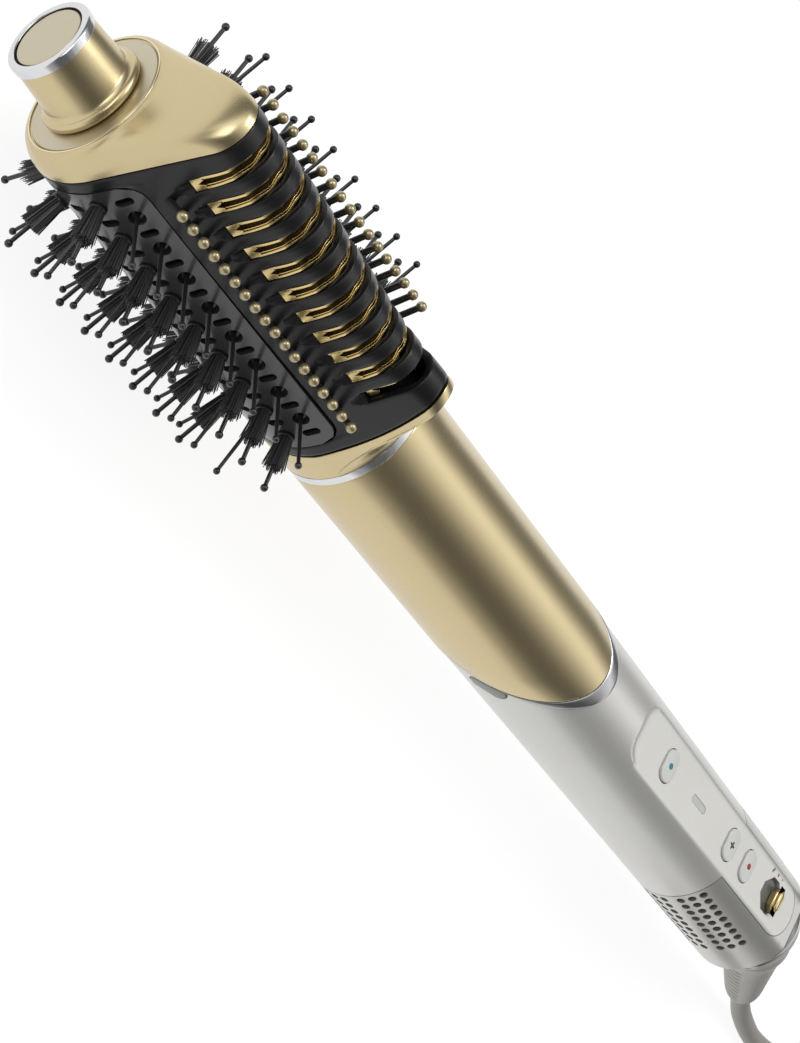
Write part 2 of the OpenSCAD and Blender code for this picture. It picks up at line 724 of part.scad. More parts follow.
module handle_tube() difference() {
    difference() {
        union() {
            intersection() {
                grip_body();
                translate([0, 0, joint - 50]) cylinder(r = 40, h = sleeve_top - joint + 50 - 0.15);
            }
            cylinder_core();
            intersection() {
                grip_body();
                raised(core_r - 4, 30) tongue_view(0);
            }
        }
        face_cut();
        before(joint + 0.1, joint_slope);
        before(joint - 0.7, crescent_slope);
    }
    handle_room();
}

// Room inside the handle, flat under the control face, with the collar that takes the coupling
module handle_room() difference() {
    union() {
        translate([0, 0, joint - 60]) cylinder(r = shell_in, h = sleeve_top - 3 - joint + 60);
        translate([0, 0, joint]) cylinder(r = core_in, h = grip_len + sleeve_len + 1);
    }
    translate([face_in, -cut / 2, face_top - 4]) cube(cut);
    tube(shell_in + 1, socket_r, joint + 24.5, spigot_end);
}

// Room under the control face for the flanges of the buttons and the slider
module pockets() {
    for (at = [cool_at, fan_at, heat_at]) raised(face_in - 3, face_in - 0.1)
        translate([0, face_top + at]) pill_view(button_flange + gap);
    raised(face_in - 3, face_in - 0.1) translate([0, face_top + well_at])
        square([slider_foot.x + 2 * gap, slider_foot.y + slider_travel + 4 * gap], center = true);
}

module cylinder_core() translate([0, 0, sleeve_top - 4]) cylinder(r = core_r, h = sleeve_len + 3.5);

module intake_windows() for (a = [62.4 : 39.2 : 300]) rotate([0, 0, a])
    translate([core_in - 3, -4.4, sleeve_top + 3]) cube([6, 8.8, sleeve_len - 16]);

module filter_mesh() color("#55575a") lay() difference() {
    tube(core_r + 0.4, core_r + 0.1, sleeve_top + 0.5, ring_top - 9);
    raised(0, 30) tongue_view(gap + 0.6);
}

module filter_sleeve() color("#b4b4ae") lay() difference() {
    intersection() {
        grip_body();
        translate([0, 0, sleeve_top + 0.1]) cylinder(r = 40, h = sleeve_len);
    }
    translate([0, 0, sleeve_top - 1]) cylinder(r = core_r + 0.6, h = sleeve_len + 2);
    face_cut();
    raised(0, 30) tongue_view(gap);
    for (g = [0 : 6], c = [-1, 0, 1], k = [0 : hole_rows - 1])
        rotate([0, 0, 62.4 + g * 39.2 + c * 11]) translate([core_r - 2, 0, sleeve_top + 2.6 + k * hole_pitch])
            rotate([0, 90, 0]) cylinder(r = hole_d / 2, h = 8);
}

module end_ring() color("#8f8f8c") lay() rotate_extrude() difference() {
    union() {
        polygon([[0, ring_top + 0.3], [grip_at(ring_top) - 1.7, ring_top + 0.3],
            [grip_at(ring_top) - 2.6, dome_top - 2.2], [grip_at(ring_top) - 3.6, dome_top - 0.2], [0, dome_top - 0.2]]);
        translate([core_in - 2.2, ring_top - 5]) square([2, 6]);
    }
    translate([-1, ring_top - 6]) square([7.05, ring_len + 8]);
}

module indicator_lens() color("#dcdcd6") lay()
    raised(face_in + 0.2, face_n + 0.05) translate([0, face_top + lamp_at]) lamp_view(-0.02);

module circuit_board() color("#2f6b3c") lay()
    translate([board_n, -7.4, face_top + 5]) cube([board_t, 14.8, well_at + 4]);

module switches() color("#3a3a3c") lay() {
    for (at = [cool_at, fan_at, heat_at]) {
        translate([board_n + board_t, -3, face_top + at - 3]) cube([0.8, 6, 6]);
        translate([board_n + board_t, 0, face_top + at]) rotate([0, 90, 0]) cylinder(r = 1.6, h = 1.3);
    }
    translate([board_n + board_t, -4, face_top + well_at - 4.8]) cube([1, 8, 9.6]);
}

module motor_can() color("#a9abb0") lay() difference() {
    translate([0, 0, motor_top]) cylinder(r = motor_r, h = motor_len);
    translate([0, 0, motor_top - 1]) cylinder(r = shaft_r + 0.05, h = motor_len + 2);
}

module motor_mount() color("#3a3a3c") lay() difference() {
    union() {
        tube(motor_r + 2.2, motor_r + 0.1, motor_top - 2.8, motor_top + 9);
        tube(motor_r + 2.2, 4, motor_top - 2.8, motor_top - 0.2);
        for (a = [60 : 60 : 300]) rotate([0, 0, a]) translate([motor_r + 1, -0.8, motor_top - 2.8])
            cube([shell_in - motor_r - 1.15, 1.6, 8]);
    }
    translate([board_n - 0.1, -cut / 2, motor_top + 2]) cube(cut);
}

module motor_shaft() color("#c6c8cc") lay()
    translate([0, 0, impeller_top - 0.5]) cylinder(r = shaft_r, h = motor_top - impeller_top + motor_len + 1.5);

// A hub with curved blades between two plates
module impeller() color("#2a2a2c") lay() translate([0, 0, impeller_top]) difference() {
    union() {
        cylinder(r = 3.6, h = impeller_h);
        translate([0, 0, impeller_h - 1.2]) cylinder(r = impeller_r, h = 1.2);
        for (a = [0 : 360 / blades : 359]) rotate([0, 0, a]) intersection() {
            translate([3, 0.4 * impeller_r, 0]) tube(0.62 * impeller_r, 0.62 * impeller_r - 0.9, 0, impeller_h);
            tube(impeller_r, 3.2, 0, impeller_h);
            translate([3, -cut, 0]) cube([cut, cut + 0.4 * impeller_r, impeller_h]);
        }
    }
    translate([0, 0, -1]) cylinder(r = shaft_r, h = impeller_h + 2);
}

module contact_block() color("#d2a94c") lay()
    for (side = [-1, 0, 1]) contact_arc(socket_r + 0.1, socket_r + 1.5, joint + 25, spigot_end - 1.2, side);

// Moving controls

module latch_tab() color("#8b8d88") lay() {
    intersection() {
        across(barrel_r - 4.3, barrel_r + 2) tab_view(0);
        translate([0, 0, joint - 30]) cylinder(r = grip_r + 0.35, h = 60);
    }
    difference() {
        across(barrel_r - 4.9, barrel_r - 4) tab_view(0.8);
        before(joint + 0.4, joint_slope);
    }
}

module button(at) {
    raised(face_in - 0.5, face_n + 0.9) translate([0, face_top + at]) pill_view(0);
    raised(face_in - 0.5, face_n + 1.2) translate([0, face_top + at]) pill_view(-0.4);
    raised(face_in - 1, face_in - 0.4) translate([0, face_top + at]) pill_view(button_flange);
}

module cool_shot_button() color("#dededa") lay() button(cool_at);
module fan_button() color("#dededa") lay() button(fan_at);
module heat_button() color("#dededa") lay() button(heat_at);

module mode_slider() color("#cdb064") lay() {
    at = face_top + well_at + slider_travel / 2 - 0.1;
    raised(face_n - 0.8, face_n + 1.2) translate([0, at]) hex_view(8.5, 4, 1.5);
    raised(face_n + 1.19, face_n + 2.2) translate([0, at]) hex_view(6.8, 2.6, 0.9);
    raised(face_in - 0.6, face_n - 0.7) translate([0, at]) square([1.8, 1.8], center = true);
    raised(face_in - 0.9, face_in - 0.2) translate([0, at]) square(slider_foot, center = true);
}

// Cord and plug

module swivel_dome() color("#9b9a96") lay() difference() {
    rotate_extrude() union() {
        intersection() {
            translate([0, dome_top + 0.2]) circle(r = grip_at(ring_top) - 3.75);
            translate([0, dome_top]) square([20, dome_len]);
        }
        translate([0, ring_top - 2]) square([6, ring_len + 3]);
        translate([0, ring_top - 4.6]) square([8, 1.6]);
        translate([0, ring_top - 3.2]) square([6, 2]);
    }
    boot_line() translate([0, 0, boot_skip - 0.2]) cylinder(r1 = boot_r + 0.2, r2 = boot_r - 1.8, h = 30);
}

// The boot's line, which droops from the swivel and leans to one side
boot_droop = acos(boot_dir.x);
boot_turn = atan2(boot_dir.y, -boot_dir.z);
module boot_line() translate([boot_start.y, boot_start.z, boot_start.x])
    rotate([0, 0, 180 - boot_turn]) rotate([0, boot_droop, 0]) children();

function boot_at(u) = lookup(u, [[0, boot_r + 0.5], [12, boot_r - 1], [30, boot_r - 2.5],
    [44, boot_r - 3.8], [49, boot_r - 4.8], [boot_len, boot_r - 6]]);

module boot_view() polygon([[0, boot_skip], [boot_at(boot_skip), boot_skip], [boot_at(12), 12],
    [boot_at(30), 30], [boot_at(44), 44], [boot_at(49), 49], [boot_at(boot_len), boot_len],
    [0, boot_len]]);

module strain_relief() color("#8f8c88") lay() boot_line() {
    rotate_extrude() difference() {
        boot_view();
        for (u = [16 : 3.4 : 47]) translate([boot_at(u) + 0.1, u]) circle(r = 0.8);
    }
    intersection() {
        rotate_extrude() boot_view();
        rotate([0, 0, 30]) union() for (a = [0, 90]) rotate([0, 0, a]) translate([-20, -2, 0]) cube([40, 4, 60]);
    }
}

function unit(v) = v / norm(v);

// A tube along points in the table's frame, with square ends
module sweep(points, r, sides) {
    last = len(points) - 1;
    rings = [for (i = [0 : last]) let(
        ahead = unit(points[min(i + 1, last)] - points[max(i - 1, 0)]),
        side = unit(cross(ahead, [0, 0, 1])),
        up = cross(side, ahead))
        for (j = [0 : sides - 1]) points[i]
            + r * cos((j + 0.5) * 360 / sides) * side + r * sin((j + 0.5) * 360 / sides) * up];
    walls = [for (i = [0 : last - 1], j = [0 : sides - 1]) let(
        a = i * sides + j, b = i * sides + (j + 1) % sides)
        each [[a, b + sides, a + sides], [a, b, b + sides]]];
    caps = [for (j = [1 : sides - 2]) each [[0, j + 1, j],
        [last * sides, last * sides + j, last * sides + j + 1]]];
    polyhedron(rings, concat(walls, caps));
}

// Points given along the tool, across it and over the table
function placed(route) = [for (p = route) [tip_x - p[0], p[1], p[2]]];

module cord() color("#8d8a86") sweep(placed(cord_route), cord_r, 8);
module cord_tail() color("#8d8a86") sweep(placed(tail_route), cord_r, 8);

// The coil winds in and out at a steady rate, and climbs a layer as it turns back
function coil_radius(u) = let(k = min(floor(u / coil_span), coil_layers - 1), f = u - k * coil_span)
    k % 2 == 0 ? coil_out - coil_pitch * f : coil_in + coil_pitch * f;
function climbed(u, at) = min(max((u - at + 0.25) * 2, 0), 1);
function coil_height(u) = coil_low + coil_pitch
    * (climbed(u, coil_span) + climbed(u, 2 * coil_span) + climbed(u, 3 * coil_span));
function coil_point(u) = [tip_x - coil_at[0] + coil_radius(u) * cos(-90 - 360 * u),
    coil_at[1] + coil_radius(u) * sin(-90 - 360 * u), coil_height(u)];
coil_points = [for (i = [0 : coil_turns * coil_step]) coil_point(i / coil_step)];
coil_line = concat([coil_point(0) + [cord_d, 0, 0]], coil_points,
    [coil_point(coil_turns) + [cord_d, 0, 0]]);
coil_gap = min([for (i = [0 : len(coil_line) - 1]) for (j = [i + coil_step / 2 : len(coil_line) - 1])
    norm(coil_line[i] - coil_line[j])]) - cord_d;

module cord_coil() {
    echo(str("least gap between the turns of the coil: ", coil_gap, " mm"));
    color("#8d8a86") sweep(coil_line, cord_r, 6);
}

// Two flat ties hold the coil, which lies on them
module cord_tie() color("#2b2b2d") translate([tip_x - coil_at[0], coil_at[1], 0]) {
    inner = [coil_out - coil_in + cord_d + 0.8, coil_high - coil_low + cord_d + 0.6];
    for (a = [0, 180]) rotate([0, 0, a]) translate([(coil_out + coil_in) / 2, 5, tie_t + inner.y / 2])
        rotate([90, 0, 0]) linear_extrude(10) difference() {
            square(inner + 2 * [tie_t, tie_t], center = true);
            square(inner, center = true);
        }
}

module plug_place() translate([tip_x - plug_at[0], plug_at[1], plug_h]) rotate([0, 90, 0]) children();

module plug_body() color("#3a3a3c") plug_place() rotate_extrude() {
    total = plug_neck + plug_body_len;
    polygon([[0, 0], [4.4, 0], [7, plug_neck], [10, plug_neck + 4], [11.5, plug_neck + 12],
        [plug_r - 1.5, total - 10], [plug_r - 0.5, total - 9], [plug_r - 0.5, total], [0, total]]);
    translate([plug_r - 1, total - 8]) square([1, 7]);
}

module plug_pins() color("#c6c8cc") plug_place()
    for (s = [-1, 1]) translate([0, s * mains_gap / 2, plug_neck + plug_body_len])
        cylinder(r = mains_r, h = mains_len);

tip_disc();
tip_ring();
tip_knob();
cap_disc();
cap_trim();
end_cap();
head_frame();
bristle_panel();
pin_row(pin_rows[0]);  // pin_row_1
pin_row(pin_rows[1]);  // pin_row_2
pin_row(pin_rows[2]);  // pin_row_3
pin_row(pin_rows[3]);  // pin_row_4
pin_row(pin_rows[4]);  // pin_row_5
pin_row(pin_rows[5]);  // pin_row_6
pin_row(pin_rows[6]);  // pin_row_7
tuft_row(tuft_rows[0]);  // tuft_row_1
tuft_row(tuft_rows[1]);  // tuft_row_2
tuft_row(tuft_rows[2]);  // tuft_row_3
tuft_row(tuft_rows[3]);  // tuft_row_4
tuft_row(tuft_rows[4]);  // tuft_row_5
tuft_row(tuft_rows[5]);  // tuft_row_6
ball_combs();
ball_tips();
heat_fins();
heater_former();
head_collar();
collar_ring();
barrel_sleeve();
coupling_spigot();
spigot_flange();
contact_strips();
joint_crescent();
handle_shell();
indicator_lens();
circuit_board();
switches();
motor_can();
motor_mount();
filter_sleeve();
filter_mesh();
end_ring();
contact_block();
impeller();
motor_shaft();
latch_tab();
cool_shot_button();
fan_button();
heat_button();
mode_slider();
swivel_dome();
strain_relief();
cord();
cord_coil();
cord_tail();
cord_tie();
plug_body();
plug_pins();
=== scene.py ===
import math
import random

import bmesh
import bpy
from mathutils import Matrix, Vector


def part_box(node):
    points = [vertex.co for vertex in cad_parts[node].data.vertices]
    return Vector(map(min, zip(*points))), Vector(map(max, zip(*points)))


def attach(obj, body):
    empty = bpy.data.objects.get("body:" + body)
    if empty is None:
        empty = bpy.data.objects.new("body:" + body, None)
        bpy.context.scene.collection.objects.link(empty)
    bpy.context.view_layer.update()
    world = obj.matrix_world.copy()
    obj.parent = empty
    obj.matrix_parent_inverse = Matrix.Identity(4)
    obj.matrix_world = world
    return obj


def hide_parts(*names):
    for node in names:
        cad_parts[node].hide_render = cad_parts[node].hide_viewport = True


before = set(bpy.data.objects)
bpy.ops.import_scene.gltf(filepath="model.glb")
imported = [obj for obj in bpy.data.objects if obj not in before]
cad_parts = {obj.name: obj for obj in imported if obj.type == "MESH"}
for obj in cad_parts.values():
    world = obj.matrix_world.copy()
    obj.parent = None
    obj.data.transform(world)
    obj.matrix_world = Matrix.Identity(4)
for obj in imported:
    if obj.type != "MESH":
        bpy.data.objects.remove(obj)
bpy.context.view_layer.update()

# The tool lies along X with its nose and buttons up. Its pieces are drawn in millimetres
# as (towards the nose, towards the release tab, distance from the cool tip's face), and
# LAID is the matrix that puts a piece drawn so into the frame, in metres.
MM = 0.001
TIP_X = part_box("tip_ring")[1].x / MM
AXIS_H = (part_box("collar_ring")[0].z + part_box("collar_ring")[1].z) / 2 / MM
LAID = Matrix(((0, 0, -MM, MM * TIP_X), (0, MM, 0, 0), (MM, 0, 0, MM * AXIS_H), (0, 0, 0, 1)))
QUARTER = math.pi / 2
BOTH_SIDES = (-1, 1)

# The camera looks down on the tool from its release side, with the cool tip nearest, as the
# photograph does. Its place is measured from the cool tip's face on the tool's axis.
CAMERA_AT = Vector((272.4, 277.1, 439.4))
CAMERA_RIGHT = Vector((-0.47982, -0.4504, 0.75294))
CAMERA_UP = Vector((0.59309, -0.79891, -0.09994))


def shown(name, data):
    """Links a new object of the data into the scene."""
    made = bpy.data.objects.new(name, data)
    bpy.context.scene.collection.objects.link(made)
    return made


def aimed(direction, up="X"):
    return direction.to_track_quat("Z", up).to_matrix().to_4x4()


camera = shown("camera", bpy.data.cameras.new("camera"))
camera.data.lens = 92.49
camera.data.clip_start = 0.01
turned_to = Matrix((CAMERA_RIGHT, CAMERA_UP, CAMERA_RIGHT.cross(CAMERA_UP))).transposed()
camera.matrix_world = (
    Matrix.Translation(MM * (Vector((TIP_X, 0, AXIS_H)) + CAMERA_AT)) @ turned_to.to_4x4())
bpy.context.scene.camera = camera
bpy.context.scene.view_settings.view_transform = "Standard"

# The mains cord is a round flex with a smooth warm grey rubber sheath. It droops from the
# strain relief to the table and runs into a wound coil, and its last stretch comes off the
# top of the coil into the plug.
CORD_D = 6.6
CORD_ROUTE = [  # along the tool, across it, height over the table
    (430, 4, 10.6), (436, 4.6, 7.5), (443, 5.8, 5.1), (451, 7.2, 3.9), (458.2, 7.8, 3.4),
    (468.4, 6.9, 3.4), (478.2, 3.7, 3.4), (487, -1.4, 3.4), (496.3, -10.2, 3.4),
    (507, -20, 3.5), (514.5, -24.2, 3.7), (524.2, -27.3, 4.1), (534.4, -28.4, 4.4)]
TAIL_ROUTE = [
    (534.4, 64.4, 25.7), (522, 64.4, 25.2), (508, 64.4, 23), (494, 64.4, 19.9),
    (482, 64.4, 17.8), (472, 64.4, 17.5)]
COIL_AT = (541, 18)
COIL_OUT = 46.4
COIL_PITCH = 7.1
COIL_LAYERS = 4
COIL_TURNS = 9.5
COIL_SPAN = COIL_TURNS / COIL_LAYERS
COIL_IN = COIL_OUT - COIL_PITCH * COIL_SPAN
COIL_LOW = 4.4
COIL_STEPS = 40
RUBBER = (0.34, 0.325, 0.30)
RUBBER_DARK = (0.30, 0.285, 0.265)


class Wire:
    """One output of a node. Arithmetic on it adds Math nodes."""

    def __init__(self, tree, socket):
        self.tree = tree
        self.socket = socket

    def maths(self, operation, *values):
        return self.tree.node("Math", {"operation": operation}, dict(enumerate(values)))

    def __add__(self, other):
        return self.maths("ADD", self, other)

    def __sub__(self, other):
        return self.maths("SUBTRACT", self, other)

    def __mul__(self, other):
        return self.maths("MULTIPLY", self, other)


class Nodes:
    """A tree whose nodes are made with their settings and the values of their sockets."""

    def __init__(self, tree):
        self.nodes = tree.nodes
        self.links = tree.links

    def put(self, socket, value):
        if isinstance(value, Wire):
            self.links.new(value.socket, socket)
        elif isinstance(value, tuple) and len(value) == 3 and socket.type == "RGBA":
            socket.default_value = (*value, 1)
        else:
            socket.default_value = value

    def node(self, kind, settings, values, output=0):
        made = self.nodes.new("ShaderNode" + kind)
        for setting, value in settings.items():
            setattr(made, setting, value)
        for socket, value in values.items():
            self.put(made.inputs[socket], value)
        return Wire(self, made.outputs[output])


class Shader(Nodes):
    """A material of one Principled shader, with its even settings given by name."""

    def __init__(self, name, **settings):
        self.material = bpy.data.materials.new(name)
        self.material.use_nodes = True
        super().__init__(self.material.node_tree)
        self.surface = self.nodes["Principled BSDF"].inputs
        for setting, value in settings.items():
            self.put(self.surface[setting.replace("_", " ")], value)
        self.place = self.node("TexCoord", {}, {}, "Object")

    def grain(self, scale, detail):
        return self.node("TexNoise", {}, {
            "Vector": self.place, "Scale": scale, "Detail": float(detail), "Roughness": 0.5})

    def blend(self, mask, low, high):
        return self.node("Mix", {"data_type": "RGBA"}, {0: mask, 6: low, 7: high}, 2)

    def wear(self, mask, colour, other, roughness, change):
        """Base colour that drifts a little over the surface, and its roughness with it."""
        self.put(self.surface["Base Color"], self.blend(mask, colour, other))
        self.put(self.surface["Roughness"], (mask - 0.5) * change + roughness)

    def relief(self, height, depth):
        self.put(self.surface["Normal"], self.node("Bump", {}, {
            "Height": height, "Distance": depth * MM, "Strength": 1.0}))


def satin(name, colour, other, roughness, grain=900, depth=0.02, drift=60, change=0.12, **settings):
    """A moulded or painted surface with a fine even grain."""
    shader = Shader(name, **settings)
    shader.wear(shader.grain(drift, 4), colour, other, roughness, change)
    shader.relief(shader.grain(grain, 2), depth)
    return shader.material


def smoothed(points, steps):
    """Points along a smooth curve through the given ones."""
    points = [Vector(p) for p in points]
    ends = [2 * points[0] - points[1], *points, 2 * points[-1] - points[-2]]
    line = []
    for a, b, c, d in zip(ends, ends[1:], ends[2:], ends[3:]):
        for k in range(steps):
            u = k / steps
            line.append(0.5 * (2 * b + (c - a) * u + (2 * a - 5 * b + 4 * c - d) * u ** 2
                               + (3 * b - 3 * c + d - a) * u ** 3))
    return line + [points[-1]]


def on_table(point):
    along, across, height = point
    return MM * Vector((TIP_X - along, across, height))


def coil_point(turns):
    """The coil spirals in and out in turn, and climbs a layer in each half turn between."""
    layer = min(int(turns / COIL_SPAN), COIL_LAYERS - 1)
    drawn = COIL_PITCH * (turns - layer * COIL_SPAN)
    radius = COIL_IN + drawn if layer % 2 else COIL_OUT - drawn
    climbs = sum(min(max(2 * (turns - n * COIL_SPAN) + 0.5, 0), 1) for n in range(1, COIL_LAYERS))
    angle = -QUARTER - math.tau * turns
    return Vector((MM * (TIP_X - COIL_AT[0] + radius * math.cos(angle)),
                   MM * (COIL_AT[1] + radius * math.sin(angle)),
                   MM * (COIL_LOW + COIL_PITCH * climbs)))


cord_path = [on_table(p) for p in smoothed(CORD_ROUTE, 4)]
cord_path += [coil_point(i / COIL_STEPS) for i in range(int(COIL_TURNS * COIL_STEPS) + 1)]
cord_path += [on_table(p) for p in smoothed(TAIL_ROUTE, 4)]
cord_line = bpy.data.curves.new("mains_cord", "CURVE")
cord_line.dimensions = "3D"
cord_line.bevel_depth = MM * CORD_D / 2
cord_line.bevel_resolution = 5
cord_line.use_fill_caps = True
spline = cord_line.splines.new("POLY")
spline.points.add(len(cord_path) - 1)
for spot, at in zip(spline.points, cord_path):
    spot.co = (*at, 1)
spline.use_smooth = True
mains_cord = shown("mains_cord", cord_line)
cord_line.materials.append(satin("cord_rubber", RUBBER, RUBBER_DARK, 0.46, 1400, 0.03))
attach(mains_cord, "swivel")
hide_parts("cord", "cord_coil", "cord_tail")

# The plug is a moulded two-pin one that widens to a flared face. Its solid round pins are
# nickel plated with domed ends.
PLUG_NECK = 24
PLUG_LEN = 54
PLUG_R = 17
PLUG_H = 17.5
PIN_R = 2.4
PIN_LEN = 19
PIN_GAP = 19
PLUG_PLACE = Matrix(((0, 0, MM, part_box("plug_body")[0].x), (0, MM, 0, MM * TAIL_ROUTE[-1][1]),
                     (-MM, 0, 0, MM * PLUG_H), (0, 0, 0, 1)))


def rounded(corners, steps=6):
    """A line through corners (x, y, radius), with an arc of that radius at each."""
    line = []
    for k, (x, y, radius) in enumerate(corners):
        corner = Vector((x, y))
        if radius == 0 or k in (0, len(corners) - 1):
            line.append(corner)
            continue
        back = (Vector(corners[k - 1][:2]) - corner).normalized()
        ahead = (Vector(corners[k + 1][:2]) - corner).normalized()
        half = back.angle(ahead) / 2
        reach = radius / math.tan(half)
        centre = corner + (back + ahead).normalized() * radius / math.sin(half)
        first = corner + back * reach - centre
        turn = first.angle_signed(corner + ahead * reach - centre)
        for step in range(steps + 1):
            line.append(centre + Matrix.Rotation(-turn * step / steps, 2) @ first)
    return line


def lathed(profile, steps=96, ring=False):
    """A solid turned about the long axis from a line of (radius, distance), closed if a ring."""
    bm = bmesh.new()
    spots = [bm.verts.new((r, 0, s)) for r, s in profile]
    edges = [bm.edges.new(pair) for pair in zip(spots, spots[1:] + spots[:1] * ring)]
    bmesh.ops.spin(bm, geom=spots + edges, axis=(0, 0, 1), angle=math.tau, steps=steps,
                   use_merge=True)
    bmesh.ops.remove_doubles(bm, verts=bm.verts, dist=1e-4)
    bmesh.ops.recalc_face_normals(bm, faces=bm.faces)
    return bm


def ringed(corners, steps=96):
    return lathed(rounded(corners + corners[:1])[:-1], steps, ring=True)


def piece(name, bm, node, material, sharp=32, body="attachment", place=LAID):
    """Makes a finished piece of the mesh, smooth but for its edges, and hides what it replaces."""
    bm.transform(place)
    mesh = meshed(bm, name)
    mesh.shade_smooth()
    mesh.set_sharp_from_angle(angle=math.radians(sharp))
    mesh.materials.append(material)
    made = shown(name, mesh)
    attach(made, body)
    if node:
        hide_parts(node)
    return made


def meshed(bm, name="shape"):
    mesh = bpy.data.meshes.new(name)
    bm.to_mesh(mesh)
    bm.free()
    return mesh


def gathered(*shapes):
    """One mesh of several shapes, each given with its place."""
    bm = bmesh.new()
    for shape, place in shapes:
        mesh = meshed(shape)
        mesh.transform(place)
        bm.from_mesh(mesh)
        bpy.data.meshes.remove(mesh)
    return bm


def planted(shape, places):
    """One mesh of copies of a shape, with one at each place."""
    single = meshed(shape)
    bm = bmesh.new()
    for place in places:
        copy = single.copy()
        copy.transform(place)
        bm.from_mesh(copy)
        bpy.data.meshes.remove(copy)
    bpy.data.meshes.remove(single)
    return bm


plug_bm = lathed(rounded([
    (0, 0, 0), (4.4, 0, 0.6), (7, PLUG_NECK, 3), (10, PLUG_NECK + 4, 3), (11.5, PLUG_NECK + 12, 6),
    (PLUG_R - 1, PLUG_LEN - 10, 2), (PLUG_R, PLUG_LEN - 8, 1), (PLUG_R, PLUG_LEN, 1),
    (0, PLUG_LEN, 0)]))
plug_plastic = satin("plug_plastic", (0.33, 0.32, 0.305), (0.30, 0.29, 0.275), 0.42, depth=0.03)
plug = piece("plug", plug_bm, "plug_body", plug_plastic, body="swivel",
             place=PLUG_PLACE)
prongs_bm = planted(
    lathed(rounded([(0, PLUG_LEN - 1, 0), (PIN_R, PLUG_LEN - 1, 0),
                    (PIN_R, PLUG_LEN + PIN_LEN, 1.4), (0, PLUG_LEN + PIN_LEN, 0)]), 32),
    [Matrix.Translation((0, side * PIN_GAP / 2, 0)) for side in BOTH_SIDES])
nickel = satin("nickel_plate", (0.66, 0.65, 0.63), (0.6, 0.59, 0.57), 0.2, depth=0.01,
               Metallic=1.0)
plug_prongs = piece("plug_prongs", prongs_bm, "plug_pins", nickel, body="swivel",
                    place=PLUG_PLACE)

# Two flat woven ties with a hook-and-loop face hold the coil, which lies on them.
TIE_T = 0.8
TIE_W = 10
TIE_BEND = 2.4
HALF_W = (COIL_OUT - COIL_IN + CORD_D + 0.8) / 2
HALF_H = (COIL_PITCH * (COIL_LAYERS - 1) + CORD_D + 0.6) / 2


def wrapped(columns, rows, place, skip=None, filled=False):
    """A skin with each corner of its grid put at place(column, row), less the faces skipped."""
    def cell(at):
        return (at.x + 1) / 2 * columns, (at.y + 1) / 2 * rows

    bm = bmesh.new()
    bmesh.ops.create_grid(bm, x_segments=columns, y_segments=rows, size=1)
    gone = [face for face in bm.faces if skip and skip(*cell(face.calc_center_median()))]
    for v in bm.verts:
        v.co = place(*(round(part) for part in cell(v.co)))
    if gone:
        bmesh.ops.delete(bm, geom=gone, context="FACES")
    bmesh.ops.remove_doubles(bm, verts=bm.verts, dist=1e-3)
    if filled:
        bmesh.ops.holes_fill(bm, edges=bm.edges)
    bmesh.ops.recalc_face_normals(bm, faces=bm.faces)
    return bm


def walled(made, wall, side=-1):
    """Gives an open skin its wall, inwards or outwards."""
    solid = made.modifiers.new("wall", "SOLIDIFY")
    solid.thickness = MM * wall
    solid.offset = side


def eased(made, width, angle=35, steps=2):
    bevel = made.modifiers.new("edges", "BEVEL")
    bevel.width = MM * width
    bevel.segments = steps
    bevel.limit_method = "ANGLE"
    bevel.angle_limit = math.radians(angle)
    bevel.harden_normals = True


tie_fabric = Shader("tie_fabric", Sheen_Weight=0.4)
weave, cross_weave = (
    tie_fabric.node("TexWave", {"bands_direction": across}, {
        "Vector": tie_fabric.place, "Scale": 900.0, "Distortion": 0.4}) for across in "YZ")
woven = weave * cross_weave
tie_fabric.wear(woven, (0.03, 0.03, 0.032), (0.075, 0.075, 0.08), 0.85, 0.1)
tie_fabric.relief(woven, 0.12)
tie_loop = rounded([(0, -HALF_H, 0), (HALF_W, -HALF_H, TIE_BEND), (HALF_W, HALF_H, TIE_BEND),
                    (-HALF_W, HALF_H, TIE_BEND), (-HALF_W, -HALF_H, TIE_BEND), (0, -HALF_H, 0)])
tie_bm = wrapped(len(tie_loop) - 1, 4, lambda i, j: (*tie_loop[i], TIE_W * (j / 4 - 0.5)))
tie_at = (COIL_OUT + COIL_IN) / 2
tie_bm = planted(tie_bm, [
    Matrix.Translation(on_table((COIL_AT[0] - side * tie_at, COIL_AT[1], TIE_T + HALF_H)))
    @ Matrix(((MM, 0, 0, 0), (0, 0, -MM, 0), (0, MM, 0, 0), (0, 0, 0, 1)))
    for side in BOTH_SIDES])
cord_ties = piece("cord_ties", tie_bm, "cord_tie", tie_fabric.material,
                  body="swivel", place=Matrix())
walled(cord_ties, TIE_T, 1)
eased(cord_ties, 0.25)

# The strain relief is a tapered boot of the cord's own rubber, moulded with the swivel. Its
# arcs of grooves let it bend, and two plain bands run down between them.
BOOT_START = Vector((0, 0, 385))
BOOT_AXIS = Vector((-25, 4, 45))
BOOT_R = smoothed([(4.8, 10.4), (7, 11.3), (10, 10.7), (14, 9.8), (20, 8.9), (30, 7.8),
                   (38, 6.95), (44, 6.3), (48, 5.5), (50.4, 4.5), (51.6, 3.9)], 26)
GROOVES_FROM = 15
GROOVES_TO = 47.5
GROOVE_PITCH = 3.25
GROOVE_DEPTH = 0.85
GROOVE_WIDE = 0.17
BAND_AT = math.radians(75)
BAND_HALF = math.radians(17)
BAND_FADE = math.radians(9)
BOOT_STEPS = 96


